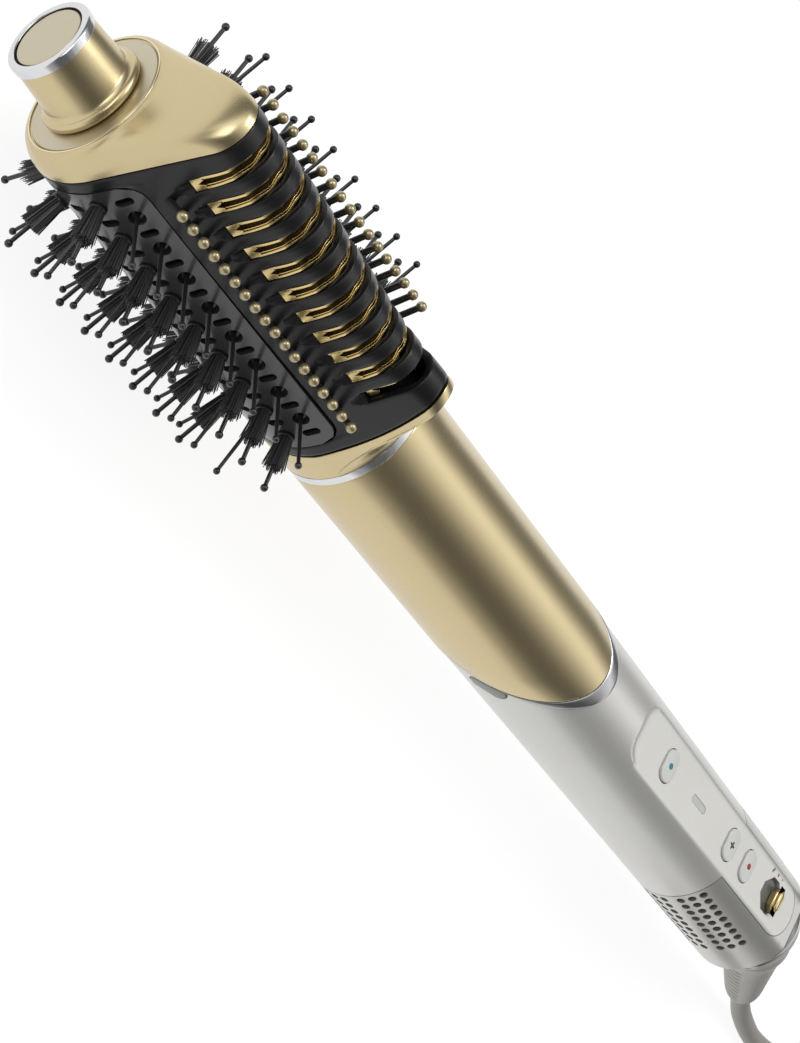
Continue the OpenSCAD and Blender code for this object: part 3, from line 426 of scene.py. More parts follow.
def boot_spot(column, row):
    along, radius = BOOT_R[row]
    angle = math.tau * column / BOOT_STEPS
    band = abs(math.remainder(angle - BAND_AT, math.pi)) - BAND_HALF
    if GROOVES_FROM < along < GROOVES_TO and band > 0:
        phase = (along - GROOVES_FROM) / GROOVE_PITCH % 1
        fade = min(band / BAND_FADE, 1)
        radius -= GROOVE_DEPTH * fade * math.exp(-((phase - 0.5) / GROOVE_WIDE) ** 2)
    return radius * math.cos(angle), radius * math.sin(angle), along


boot_rubber = satin("boot_rubber", (0.38, 0.365, 0.34), RUBBER, 0.42, 1400, 0.03)
cord_boot = piece("cord_boot", wrapped(BOOT_STEPS, len(BOOT_R) - 1, boot_spot, filled=True),
                  "strain_relief", boot_rubber, 50, "swivel",
                  LAID @ Matrix.Translation(BOOT_START) @ aimed(BOOT_AXIS))

# The swivel is a smooth dome that turns in the end of the handle, with a stem inside.
dome_bm = lathed(rounded([
    (0, 378, 0), (5.9, 378, 0.2), (5.9, 383.8, 0), (14.7, 383.8, 0.4), (13.8, 386.4, 3),
    (10.8, 389.2, 4), (0, 391.5, 0)]))
piece("swivel_cap", dome_bm, "swivel_dome",
      satin("swivel_plastic", (0.42, 0.405, 0.385), (0.385, 0.37, 0.35), 0.34), body="swivel")

# A glossy ring closes the end of the handle and carries the swivel.
ring_bm = ringed([
    (12, 377.35, 0), (16.9, 377.35, 0.3), (16.6, 380, 4), (15.6, 382.4, 2), (14.9, 383.5, 0.6),
    (7.1, 383.5, 0.3), (7.1, 377.35, 0.3)])
ring_plastic = satin("ring_plastic", (0.16, 0.16, 0.155), (0.13, 0.13, 0.125), 0.16, depth=0.01,
                     Coat_Weight=0.5)
piece("closing_ring", ring_bm, "end_ring", ring_plastic, body="handle")

# The handle is one satin shell, warm light grey, with a flat face for the controls. The face
# ends in a tongue that runs down between the edges of the filter sleeve. The end under the
# barrel is cut on a slant.
FACE_N = 16.8
FACE_TOP = 268
FACE_CORNER = 5
FACE_STRAIGHT = 3.6
FACE_RISE = 0.7
FACE_SOFT = 0.6
FACE_EDGE = 0.16
FACE_FROM = 262
FACE_TO = 275
GRIP_MID = 17
SHELL_GAP = 0.15
TONGUE_FROM = 333.4
TONGUE_W = 8.9
SLEEVE_TOP = 333
TONGUE_END = 374
TONGUE_BEND = TONGUE_END - TONGUE_W
JOINT = 218.5
JOINT_SLANT = 22.7
JOINT_GAP = 0.12
CRESCENT_SLANT = 28.6
CRESCENT_DROP = 0.7
TONGUE_ANGLE = math.degrees(math.atan2(TONGUE_W, FACE_N))
GRIP_R = smoothed([(200, 19.65), (240, 19.4), (369, 18.57), (371.5, 18.42), (374, 18.05),
                   (375.8, 17.6), (376.8, 17.1), (377.2, 16.7)], 8)


def measure(line, at):
    """The values at a distance on a line of (distance, *values) points."""
    for (a, *low), (b, *high) in zip(line, line[1:]):
        if at <= b:
            step = (at - a) / (b - a)
            return [near + (far - near) * step for near, far in zip(low, high)]
    return line[-1][1:]


def grip_spot(angle, along):
    """A point of the handle's outside, round but for the flat control face."""
    radius = measure(GRIP_R, along)[0]
    turn = math.cos(math.radians(angle))
    if turn > 0.3 and along > 250:
        aside = abs(radius * math.sin(math.radians(angle)))
        bend = math.sqrt(max(FACE_CORNER ** 2 - max(aside - FACE_STRAIGHT, 0) ** 2, 0.4))
        top = FACE_TOP + FACE_CORNER - bend
        flat = FACE_N + FACE_RISE * math.log1p(math.exp((top - 0.4 - along) / FACE_SOFT))
        # the smaller of the two radii, with a soft edge between
        radius = GRIP_MID - FACE_EDGE * math.log(
            math.exp(-(radius - GRIP_MID) / FACE_EDGE)
            + math.exp(-(flat / turn - GRIP_MID) / FACE_EDGE))
    return Vector((radius * turn, radius * math.sin(math.radians(angle)), along))


half_turn = [0, 3, 6, 9, 12, 15, 18, 20.5, 22.5, 24.2, 25.6, 26.8, TONGUE_ANGLE, 28.6, 29.2, 29.8,
             30.4, 31, 31.8, 33, 35, 37.5, 40, 43, 46, 50, 54, 58, 63, 68, 74, 80, 86, 92, 98, 104,
             110, 117, 124, 131, 138, 145, 152, 159, 166, 173, 180]
grip_angles = [-a for a in reversed(half_turn[1:])] + half_turn
grip_rows = [("open", k / 14) for k in range(15)]
grip_rows += [("at", FACE_FROM + 0.8 * k) for k in range(1, 17)]
grip_rows += [("at", FACE_TO + k * (SLEEVE_TOP - SHELL_GAP - FACE_TO) / 16) for k in range(1, 17)]
tongue_from = len(grip_rows) - 1
grip_rows += [("at", TONGUE_FROM + k * (TONGUE_BEND - TONGUE_FROM) / 10) for k in range(11)]
grip_rows += [("at", TONGUE_BEND + TONGUE_W * math.sin(QUARTER * k / 12)) for k in range(1, 13)]


def tongue_angle(along, half_width):
    """Angle of the tongue's edge round the handle, which closes to nothing at its end."""
    drawn = max(along - TONGUE_BEND, 0)
    width = math.sqrt(max(half_width ** 2 - drawn ** 2, 0))
    return math.degrees(math.atan2(width, FACE_N))


def handle_spot(column, row):
    kind, at = grip_rows[row]
    angle = grip_angles[column]
    if kind == "open":
        turn = math.cos(math.radians(angle))
        edge = JOINT + max(JOINT_SLANT * turn, CRESCENT_SLANT * turn - CRESCENT_DROP) + JOINT_GAP
        return grip_spot(angle, edge + (FACE_FROM - edge) * at)
    if row > tongue_from:
        share = tongue_angle(at, TONGUE_W) / TONGUE_ANGLE
        angle = max(-TONGUE_ANGLE, min(TONGUE_ANGLE, angle)) * share
    return grip_spot(angle, at)


def off_tongue(column, row):
    side = (grip_angles[math.floor(column)] + grip_angles[math.ceil(column)]) / 2
    return row > tongue_from and abs(side) > TONGUE_ANGLE


def carved(made, cutters, sharp=32):
    """Cuts the cutters' shape, drawn as the tool is, out of a piece and keeps the result."""
    cutters.transform(LAID)
    tool = shown("tool", meshed(cutters))
    cut = made.modifiers.new("cut", "BOOLEAN")
    cut.object = tool
    cut.operation = "DIFFERENCE"
    cut.solver = "EXACT"
    graph = bpy.context.evaluated_depsgraph_get()
    shaped = bpy.data.meshes.new_from_object(made.evaluated_get(graph))
    made.modifiers.clear()
    made.data = shaped
    bpy.data.meshes.remove(tool.data)
    shaped.set_sharp_from_angle(angle=math.radians(sharp))


def stood(bm, low, high, axis=2):
    """Gives a flat shape its height, along an axis."""
    made = bmesh.ops.extrude_face_region(bm, geom=bm.faces[:])["geom"]
    for v in bm.verts:
        v.co[axis] = low
    for v in made:
        if isinstance(v, bmesh.types.BMVert):
            v.co[axis] = high
    bmesh.ops.recalc_face_normals(bm, faces=bm.faces)
    return bm


def raised(bm, low, high, edge=0.0):
    """Gives a shape on the control face's plan its height, with its upper edge eased."""
    stood(bm, low, high)
    if edge:
        rim = [e for e in bm.edges if all(v.co.z == high for v in e.verts)]
        bmesh.ops.bevel(bm, geom=rim, offset=edge, segments=4, profile=0.5, affect="EDGES",
                        material=-1)
    return bm


def pill(length, width, low, high, edge=0.0, segments=48, upright=False):
    bm = bmesh.new()
    bmesh.ops.create_circle(bm, segments=segments, radius=width / 2, cap_ends=True)
    bmesh.ops.rotate(bm, verts=bm.verts, matrix=Matrix.Rotation(math.pi / segments, 3, "Z"))
    for v in bm.verts:
        v.co.x += math.copysign((length - width) / 2, v.co.x)
    if upright:
        bmesh.ops.rotate(bm, verts=bm.verts, matrix=Matrix.Rotation(QUARTER, 3, "Z"))
    return raised(bm, low, high, edge)


def chamfered(width, height, chamfer, low, high, edge=0.0):
    """A block on the control face's plan with its four upright corners cut off."""
    bm = bmesh.new()
    bmesh.ops.create_grid(bm, x_segments=1, y_segments=1, size=0.5)
    bmesh.ops.scale(bm, verts=bm.verts, vec=(width, height, 1))
    bmesh.ops.bevel(bm, geom=bm.verts[:], offset=chamfer * math.sqrt(2), segments=1, profile=0.5,
                    affect="VERTICES", material=-1)
    return raised(bm, low, high, edge)


def on_face(along, across=0.0, tall=0.0):
    """Puts a shape drawn on the control face's plan at a place along the tool."""
    return Matrix(((0, 0, 1, tall), (1, 0, 0, across), (0, 1, 0, along), (0, 0, 0, 1)))


TAB_AT = (0.45, 222.95)
TAB_TURN = math.radians(48.8)
TAB = (10.9, 4.4)
TAB_GAP = 0.25
TAB_STEPS = 64


def tab_outline(grow):
    """The tab's outline in the side view, as a list of (towards the nose, along the tool)."""
    radius = TAB[1] / 2 - 0.1 + grow
    reach = (TAB[0] - TAB[1]) / 2 + 0.1
    spots = []
    for k in range(TAB_STEPS):
        angle = math.tau * (k + 0.5) / TAB_STEPS
        across = radius * math.cos(angle)
        across += math.copysign(reach, across)
        up = radius * math.sin(angle) + math.copysign(0.1, math.sin(angle))
        spots.append((TAB_AT[0] + across * math.cos(TAB_TURN) - up * math.sin(TAB_TURN),
                      TAB_AT[1] + across * math.sin(TAB_TURN) + up * math.cos(TAB_TURN)))
    return spots


COOL_AT = 287
LAMP_AT = 307.3
SPEED_AT = 329.7
WARM_AT = 341.8
WELL_AT = 359
BUTTON = (10.2, 6.4)
BUTTON_GAP = 0.45
grip_satin = satin("grip_satin", (0.64, 0.635, 0.605), (0.61, 0.605, 0.575), 0.34, 2200,
                   drift=40, change=0.08, Metallic=0.55, Coat_Weight=0.15, Coat_Roughness=0.3)
handle_bm = wrapped(len(grip_angles) - 1, len(grip_rows) - 1, handle_spot, off_tongue)
handle = piece("handle", handle_bm, "handle_shell", grip_satin, body="handle")
walled(handle, 1.6)
tab_hole = bmesh.new()
tab_hole.faces.new([tab_hole.verts.new((n, 0, s)) for n, s in tab_outline(TAB_GAP)])
carved(handle, gathered(
    *((pill(BUTTON[0] + BUTTON_GAP, BUTTON[1] + BUTTON_GAP, 12, 22), on_face(at))
      for at in (COOL_AT, SPEED_AT, WARM_AT)),
    (pill(8.7, 2.5, 16.4, 22, upright=True), on_face(LAMP_AT)),
    (chamfered(11, 11, 2.6, 12, 22), on_face(WELL_AT)),
    (stood(tab_hole, 13, 24, axis=1), Matrix())))
eased(handle, 0.22, 38)

# The release tab is a mid grey lozenge in the handle's edge, which follows its curve.
tab_line = tab_outline(0)


def tab_spot(column, row):
    """Row 0 is the foot of the tab's wall, 1 its shoulder, and the last its middle."""
    share, drop = [(1, 3.4), (1, 0.5), (0.97, 0.18), (0.9, 0.04), (0.75, 0), (0.5, 0), (0.25, 0),
                   (0, 0)][row]
    n, s = (mid + (at - mid) * share for mid, at in zip(TAB_AT, tab_line[column % TAB_STEPS]))
    return n, math.sqrt((measure(GRIP_R, s)[0] + 0.32 - drop) ** 2 - n ** 2), s


tab_plastic = satin("tab_plastic", (0.26, 0.27, 0.25), (0.23, 0.24, 0.225), 0.38)
piece("release_tab", wrapped(TAB_STEPS, 7, tab_spot), "latch_tab", tab_plastic, 45,
      "latch")

# A polished crescent closes the joint on the nose side. It is plated a mid grey, and fixed to
# the slanted end of the handle.
CRESCENT_R = 19.88
CRESCENT_STEPS = 96
crescent_end = math.degrees(math.acos(CRESCENT_DROP / (CRESCENT_SLANT - JOINT_SLANT))) - 1


def crescent_spot(column, row):
    angle = math.radians(-crescent_end + 2 * crescent_end * column / CRESCENT_STEPS)
    low = JOINT + JOINT_SLANT * math.cos(angle) + JOINT_GAP
    high = JOINT - CRESCENT_DROP + CRESCENT_SLANT * math.cos(angle) - 0.05
    share, drop = [(0, 1.4), (0.02, 0.25), (0.08, 0.06), (0.25, 0), (0.5, 0), (0.75, 0.04),
                   (0.92, 0.12), (0.98, 0.3), (1, 1.4)][row]
    radius = CRESCENT_R - drop
    return radius * math.cos(angle), radius * math.sin(angle), low + (high - low) * share


crescent_steel = satin("crescent_steel", (0.42, 0.42, 0.43), (0.39, 0.39, 0.40), 0.2, depth=0.004,
                       Metallic=1.0)
piece("crescent", wrapped(CRESCENT_STEPS, 8, crescent_spot), "joint_crescent",
      crescent_steel, 50, "handle")

# The three buttons are satin off-white pills, moulded with a flange that keeps them in the
# handle, and each is printed with its own mark.
button_satin = satin("button_satin", (0.66, 0.66, 0.64), (0.63, 0.63, 0.61), 0.34, depth=0.015,
                     Coat_Weight=0.2)
print_teal, print_red, print_black, print_grey = (
    satin("print_" + ink, colour, other, 0.5, depth=0.002) for ink, colour, other in (
        ("teal", (0.01, 0.22, 0.24), (0.012, 0.2, 0.22)),
        ("red", (0.36, 0.03, 0.025), (0.32, 0.03, 0.025)),
        ("black", (0.03, 0.03, 0.03), (0.04, 0.04, 0.04)),
        ("grey", (0.24, 0.24, 0.24), (0.21, 0.21, 0.21))))
PRINT = 0.04
BUTTON_TOP = FACE_N + 0.7
FLANGE_TOP = 14.4


def dot(radius, wide=1.0, turn=0.0):
    """A printed dot, or one blade of a fan at a turn, as thin as ink."""
    bm = bmesh.new()
    bmesh.ops.create_circle(bm, segments=28, radius=radius, cap_ends=True)
    bmesh.ops.scale(bm, verts=bm.verts, vec=(wide, 1, 1))
    if turn:
        bmesh.ops.translate(bm, verts=bm.verts, vec=(1.15 * radius * wide, 0, 0))
    bmesh.ops.rotate(bm, verts=bm.verts, matrix=Matrix.Rotation(turn, 3, "Z"))
    return raised(bm, -0.06, PRINT)


fan_blades = gathered(*((dot(0.36, 1.7, math.tau * k / 4 + 1.38), Matrix()) for k in range(4)))
for name, body, node, at, mark, ink in (
        ("cool_button_cap", "cool_button", "cool_shot_button", COOL_AT, dot(0.95), print_teal),
        ("speed_button_cap", "speed_button", "fan_button", SPEED_AT, fan_blades, print_black),
        ("warm_button_cap", "warm_button", "heat_button", WARM_AT, dot(0.95), print_red)):
    button_bm = gathered(
        (pill(BUTTON[0] - 0.1, BUTTON[1] - 0.1, FLANGE_TOP, BUTTON_TOP, 0.35), on_face(at)),
        (pill(BUTTON[0] + 1.5, BUTTON[1] + 1.5, FLANGE_TOP - 0.6, FLANGE_TOP), on_face(at)))
    piece(name, button_bm, node, button_satin, body=body)
    piece(name + "_mark", gathered((mark, on_face(at, tall=BUTTON_TOP))), None, ink,
          body=body)

# The indicator is a frosted lens flush with the face, between two of the buttons.
lamp_bm = gathered((pill(8.62, 2.42, 15, FACE_N - 0.05, 0.12, upright=True), on_face(LAMP_AT)))
lamp_lens = satin("lamp_lens", (0.52, 0.52, 0.5), (0.49, 0.49, 0.47), 0.28, depth=0.004,
                  Coat_Weight=0.4)
piece("indicator", lamp_bm, "indicator_lens", lamp_lens, body="handle")

# The slider is a gold anodised knob that runs in an octagonal well. Four marks printed beside
# the well stand for its settings.
KNOB_AT = WELL_AT + 3.05
well_bm = gathered((chamfered(11.4, 11.4, 2.7, 13.4, 15.7), on_face(WELL_AT)))
well_plastic = satin("well_plastic", (0.11, 0.11, 0.105), (0.09, 0.09, 0.085), 0.3)
piece("well_floor", well_bm, None, well_plastic, body="handle")
anodised = satin("anodised_gold", (0.66, 0.53, 0.27), (0.6, 0.47, 0.235), 0.26, depth=0.01,
                 Metallic=0.9)
knob_bm = gathered(
    (chamfered(8.5, 4, 1.5, FACE_N - 0.8, FACE_N + 1.2, 0.5), on_face(KNOB_AT)),
    (chamfered(6.8, 2.6, 0.9, FACE_N + 1, FACE_N + 2.2, 0.5), on_face(KNOB_AT)))
piece("slider_knob", knob_bm, "mode_slider", anodised, 30, "slider")
for k, (at, across, wide, ink) in enumerate((
        (355, -6.4, 1.5, print_red), (355.5, -7.2, 1.5, print_teal), (358.6, -6.9, 1.5, print_red),
        (361.5, -6.9, 1, print_grey))):
    piece("setting_mark_" + str(k + 1), gathered((dot(0.34, wide), on_face(at, across, FACE_N))),
          None, ink, body="handle")

# The filter sleeve is a darker satin tube with a hundred and eighty-nine holes, over fine
# mesh. It is cut away for the tongue, with a thin gap, and its lower end is rounded.
SLEEVE_GAP = 0.22
HOLE_D = 2.55
HOLE_PITCH = 3.54
HOLES_FROM = 2.6
HOLES_AT = (62.4, 39.2, 11)  # first middle column, turn between groups and between columns
ROUND = 160
sleeve_rows = [SLEEVE_TOP + 0.12 + k * (TONGUE_BEND - SLEEVE_TOP - 0.12) / 10 for k in range(11)]
sleeve_rows += [TONGUE_BEND + (TONGUE_W + SLEEVE_GAP) * math.sin(QUARTER * k / 12)
                for k in range(1, 13)]
sleeve_rows += [374.8, 375.4, 376, 376.5, 376.9, 377.2]


def sleeve_spot(column, row):
    along = sleeve_rows[row]
    edge = tongue_angle(along, TONGUE_W + SLEEVE_GAP)
    return grip_spot(edge + (360 - 2 * edge) * column / ROUND, along)


def rod(segments, radius, depth, tip=None):
    bm = bmesh.new()
    bmesh.ops.create_cone(bm, cap_ends=True, segments=segments, radius1=radius,
                          radius2=tip or radius, depth=depth)
    return bm


sleeve_satin = satin("sleeve_satin", (0.56, 0.555, 0.53), (0.53, 0.525, 0.50), 0.32, 2200,
                     drift=40, change=0.08, Metallic=0.7, Coat_Weight=0.1)
sleeve = piece("sleeve", wrapped(ROUND, len(sleeve_rows) - 1, sleeve_spot), "filter_sleeve",
               sleeve_satin, body="handle")
walled(sleeve, 1.5)
carved(sleeve, planted(rod(16, HOLE_D / 2, 8), [
    Matrix.Rotation(math.radians(HOLES_AT[0] + HOLES_AT[1] * group + HOLES_AT[2] * column), 4, "Z")
    @ Matrix.Translation((18, 0, SLEEVE_TOP + HOLES_FROM + HOLE_PITCH * row))
    @ Matrix.Rotation(QUARTER, 4, "Y")
    for group in range(7) for column in (-1, 0, 1) for row in range(9)]))
eased(sleeve, 0.26, 40)

# The barrel is a seamless champagne sleeve with a satin lacquer over metallic paint. Its end
# is cut on the slant of the joint, and its edges are rolled.
BARREL_R = 19.9
BARREL_TOP = 133.3


def barrel_spot(column, row):
    angle = math.tau * column / ROUND
    end = JOINT + JOINT_SLANT * math.cos(angle) - 0.1
    share, drop = [(0, 1.2), (0, 0.3), (0.0016, 0.08), (0.006, 0), (0.1, 0), (0.3, 0), (0.5, 0),
                   (0.7, 0), (0.9, 0), (0.994, 0), (0.9984, 0.08), (1, 0.3), (1, 1.9)][row]
    radius = BARREL_R - drop
    return (radius * math.cos(angle), radius * math.sin(angle),
            BARREL_TOP + 0.02 + (end - BARREL_TOP) * share)


def champagne_paint(name, colour, roughness):
    """Fine metallic flake under a satin lacquer."""
    shader = Shader(name, Metallic=1.0, Coat_Weight=0.25, Coat_Roughness=0.22)
    flake = shader.node("TexVoronoi", {}, {"Vector": shader.place, "Scale": 9000.0}, 1)
    drift = shader.grain(30, 4)
    tone = shader.blend(drift, colour, tuple(0.95 * part for part in colour))
    mixed = shader.node("Mix", {"data_type": "RGBA", "blend_type": "MULTIPLY"},
                        {0: 0.05, 6: tone, 7: flake}, 2)
    shader.put(shader.surface["Base Color"], mixed)
    shader.put(shader.surface["Roughness"], (drift - 0.5) * 0.06 + roughness)
    shader.relief(shader.grain(2600, 2), 0.012)
    return shader.material


champagne = champagne_paint("champagne", (0.60, 0.495, 0.285), 0.28)
piece("barrel", wrapped(ROUND, 12, barrel_spot), "barrel_sleeve", champagne, 50)

# A polished chrome band lies between the barrel and the collar.
chrome = satin("chrome", (0.68, 0.685, 0.70), (0.64, 0.645, 0.66), 0.1, depth=0.004, Metallic=1.0)
band_bm = ringed([(19, 130.9, 0), (19.98, 130.9, 0.2), (19.98, 133.2, 0.2), (17.5, 133.2, 0),
                  (17.5, 130.9, 0)], ROUND)
piece("band", band_bm, "collar_ring", chrome, 50)

# The head's cross-section is a round back and a small round nose, joined by flat flanks. The
# collar under it is painted as the barrel is. Its rim follows the arched seam, and under the
# rim it draws in to the round barrel.
ARCH_R = 62.5
ARCH_AT = (12, 60.1)
BAND_TOP = 130.8
FOOT = (33.1, 6.35)
FLARE_STEPS = 22
FLARE_BEND = 1.75
HEAD_STEPS = 140


def around(share, centre, nose, back=BARREL_R):
    """A point of the cross-section, at a share of the way round it from the nose's ridge."""
    side = 1 if share <= 0.5 else -1
    half = 2 * share if share <= 0.5 else 2 - 2 * share
    centre = max(centre, back - nose + 1e-4)
    lean = math.acos((back - nose) / centre)
    if half <= 0.2:
        angle = lean * half / 0.2
        return centre + nose * math.cos(angle), side * nose * math.sin(angle)
    if half < 0.4:
        step = (half - 0.2) / 0.2
        centre *= 1 - step
        radius = nose + (back - nose) * step
        return centre + radius * math.cos(lean), side * radius * math.sin(lean)
    angle = lean + (math.pi - lean) * (half - 0.4) / 0.6
    return back * math.cos(angle), side * back * math.sin(angle)


def arch(n, shift=0.0):
    """Where the arched seam, moved along by the shift, crosses a distance towards the nose."""
    return ARCH_AT[1] + math.sqrt((ARCH_R + shift) ** 2 - (n - ARCH_AT[0]) ** 2)


collar_rows = [("rim", 0.5, 2.2), ("rim", 0.42, 0.35), ("rim", 0.55, 0.1), ("rim", 0.8, 0),
               ("rim", 1.6, 0), ("rim", 2.4, 0), ("rim", 2.75, 0.1)]
collar_rows += [("flare", k / FLARE_STEPS, 0) for k in range(1, FLARE_STEPS)]
collar_rows += [("flare", 1, 0), ("flare", 1, 0.3), ("flare", 1, 1.6)]


def collar_spot(column, row):
    kind, at, drop = collar_rows[row]
    share = column / HEAD_STEPS
    if kind == "rim":
        n, t = around(share, FOOT[0], FOOT[1] - drop, BARREL_R - drop)
        return n, t, arch(n, at)
    left = (1 - at) ** FLARE_BEND
    n, t = around(share, FOOT[0] * left, FOOT[1] + (BARREL_R - FOOT[1]) * (1 - left) - drop,
                  BARREL_R - drop)
    rim = arch(around(share, *FOOT)[0], 2.8)
    return n, t, rim + (BAND_TOP - rim) * at


piece("collar", wrapped(HEAD_STEPS, len(collar_rows) - 1, collar_spot), "head_collar",
      champagne, 50)

# The head's frame is one glossy black moulding, slotted across the nose. It borders the
# bristle panel, and the panel lies in it with a thin gap round its edge. A sloping groove
# runs out of each end of a slot.
CAP_SEAM = 24.5
CAP_TILT = 0.08
BORDER = 3.5
PANEL_EDGE = 15.6
SLOTS = 11
SLOT_AT = 34.5
SLOT_PITCH = 7.43
SLOT_W = 3.8
SLOT_END = 25.7
SLOTS_FROM = SLOT_AT - SLOT_W / 2
SLOTS_TO = SLOT_AT + (SLOTS - 1) * SLOT_PITCH + SLOT_W / 2
RAMP_R = 1.8
RAMP_FROM = 22.6
RAMP_SLOPE = math.radians(20)
CORNER = 5
HEAD_LINE = smoothed([(15, 32.2, 9.0), (24, 32.1, 8.95), (48, 31.65, 8.8), (65, 30.8, 8.8),
                      (82, 29.5, 8.8), (96, 28.3, 8.7), (105, 29.6, 7.8), (113, 32.4, 6.6),
                      (119, 33.1, 6.35), (124, 33.2, 6.3), (130, 33.2, 6.3)], 8)


def section(along):
    """Centre and radius of the nose's rounding, and the angle at which it meets the flank."""
    centre, nose = measure(HEAD_LINE, along)
    return centre, nose, math.acos((BARREL_R - nose) / centre)


def flank(n, centre, nose, lean):
    """Distance across the tool of the head's surface, at a distance towards the nose."""
    if n > centre + nose * math.cos(lean):
        return math.sqrt(max(nose ** 2 - (n - centre) ** 2, 0))
    if n > BARREL_R * math.cos(lean):
        return (BARREL_R - n * math.cos(lean)) / math.sin(lean)
    return math.sqrt(max(BARREL_R ** 2 - n ** 2, 0))


def corner_edge(step):
    """Edge of the panel's window in its rounded corner, at a step from the window's end."""
    return PANEL_EDGE - CORNER + math.sqrt(max(CORNER ** 2 - (CORNER - step) ** 2, 0))


# Each row of the frame's grid: how it lies at the panel's side, and across the nose
corner_steps = [0.38, 1.46, 3.1, 5]
frame_rows = [("cap", where) for where in (0.42, 1.2, 1.9, 2.7, BORDER)]
window_from = len(frame_rows) - 1
frame_rows += [("upper", step) for step in corner_steps]
slots_after = len(frame_rows) - 1
for k in range(SLOTS):
    frame_rows += [("slot", (k, share)) for share in (-1, -0.7, -0.36, 0, 0.36, 0.7, 1)]
    if k < SLOTS - 1:
        frame_rows += [("rib", (k, 0.33)), ("rib", (k, 0.67))]
slots_before = len(frame_rows)
frame_rows += [("lower", step) for step in reversed(corner_steps)]
window_to = len(frame_rows)
frame_rows += [("foot", where) for where in (BORDER, 2.6, 1.8, 1, 0.22)]
frame_columns = [("nose", k / 7) for k in range(8)]
frame_columns += [("flank", n) for n in (30.6, 28.2, SLOT_END, 24.7, 23.7, 23, 22.3, 19)]
frame_columns += [("edge", 0)] + [("back", k / 14) for k in range(15)]
half_columns = len(frame_columns) - 1
slot_end = frame_columns.index(("flank", SLOT_END))
window_edge = frame_columns.index(("edge", 0))


def frame_spot(column, row):
    side = 1 if column <= half_columns else -1
    kind, at = frame_columns[min(column, 2 * half_columns - column)]
    lies, where = frame_rows[row]
    edge = PANEL_EDGE
    if lies in ("upper", "lower"):
        edge = corner_edge(where)
    elif lies in ("cap", "foot"):
        edge = corner_edge(0)
    across = kind == "nose" or (kind == "flank" and at > 20)
    # where the row crosses depends on n, and n on the section there: three passes settle them
    along = 70
    for again in range(3):
        centre, nose, lean = section(along)
        if kind == "nose":
            n = centre + nose * math.cos(lean * at)
        elif kind == "back":
            n = BARREL_R * math.cos(lean + (math.pi - lean) * at)
        else:
            n = {"flank": at, "edge": edge}[kind]
        top = CAP_SEAM + CAP_TILT * n
        low = arch(n, -BORDER)
        if lies == "cap":
            along = top + where
        elif lies == "foot":
            along = arch(n, -where)
        elif lies == "upper":
            along = top + BORDER + where
            if across:
                along = top + BORDER + (SLOTS_FROM - top - BORDER) * where / (CORNER + 1)
        elif lies == "lower":
            along = low - where
            if across:
                along = low + (SLOTS_TO - low) * where / (CORNER + 1)
        elif across:
            k, share = where
            along = SLOT_AT + k * SLOT_PITCH + SLOT_W / 2 * share
            if lies == "rib":
                along = SLOT_AT + k * SLOT_PITCH + SLOT_W / 2 + (SLOT_PITCH - SLOT_W) * share
        else:
            share = (row - slots_after) / (slots_before - slots_after)
            start = top + BORDER + CORNER
            along = start + (low - CORNER - start) * share
    if kind == "nose":
        t = nose * math.sin(lean * at)
    elif kind == "back":
        t = BARREL_R * math.sin(lean + (math.pi - lean) * at)
    else:
        t = flank(n, centre, nose, lean)
    return n, side * t, along


def frame_open(column, row):
    """True in a slot and in the panel's window."""
    half = min(column, 2 * half_columns - column)
    if half > window_edge:
        return window_from < row < window_to
    kinds = frame_rows[math.floor(row)], frame_rows[math.ceil(row)]
    return half < slot_end and all(kind == "slot" for kind, _ in kinds)


def on_flank(k, n, side=1):
    """A place on the flank in line with a slot, and the directions up the flank and out."""
    middle = SLOT_AT + k * SLOT_PITCH
    centre, nose, lean = section(middle)
    return (Vector((n, side * flank(n, centre, nose, lean), middle)),
            Vector((math.sin(lean), -side * math.cos(lean), 0)),
            Vector((math.cos(lean), side * math.sin(lean), 0)))


black_gloss = satin("black_gloss", (0.007, 0.007, 0.0075), (0.010, 0.010, 0.0105), 0.3, 500, 0.004,
                    Specular_IOR_Level=0.32)
frame_bm = wrapped(2 * half_columns, len(frame_rows) - 1, frame_spot, frame_open)
head_shell = piece("head_shell", frame_bm, "head_frame", black_gloss, 40)
walled(head_shell, 2.3)
eased(head_shell, 0.5, 60, 3)
ramps = []
for k in range(SLOTS):
    for side in BOTH_SIDES:
        foot, up, out = on_flank(k, RAMP_FROM, side)
        ramps.append((
            lathed(rounded([(0, -3, 0), (RAMP_R, -3, RAMP_R), (RAMP_R, 5.3, 0), (0, 5.3, 0)]), 48),
            Matrix.Translation(foot + out * RAMP_R)
            @ aimed(up * math.cos(RAMP_SLOPE) - out * math.sin(RAMP_SLOPE))))
carved(head_shell, gathered(*ramps))

# A matte black core fills the middle of the head, behind the slots and the vents. Its black
# paints the shade seen through them.
CORE_FROM = 26.5
CORE_TO = 119
CORE = (24.8, 4.6, 16.2)  # centre and radius of its nose, radius of its back
# A near-black finish that paints shade: in the head's core, behind the seams and in the tip's
# groove.
painted_shade_black = satin("painted_shade_black", (0.008, 0.008, 0.008), (0.012, 0.012, 0.012), 0.7, depth=0.05)
core_bm = wrapped(60, 4, lambda column, row: (
    *around(column / 60, *CORE), CORE_FROM + (CORE_TO - CORE_FROM) * row / 4), filled=True)
piece("head_shade_core", core_bm, None, painted_shade_black)

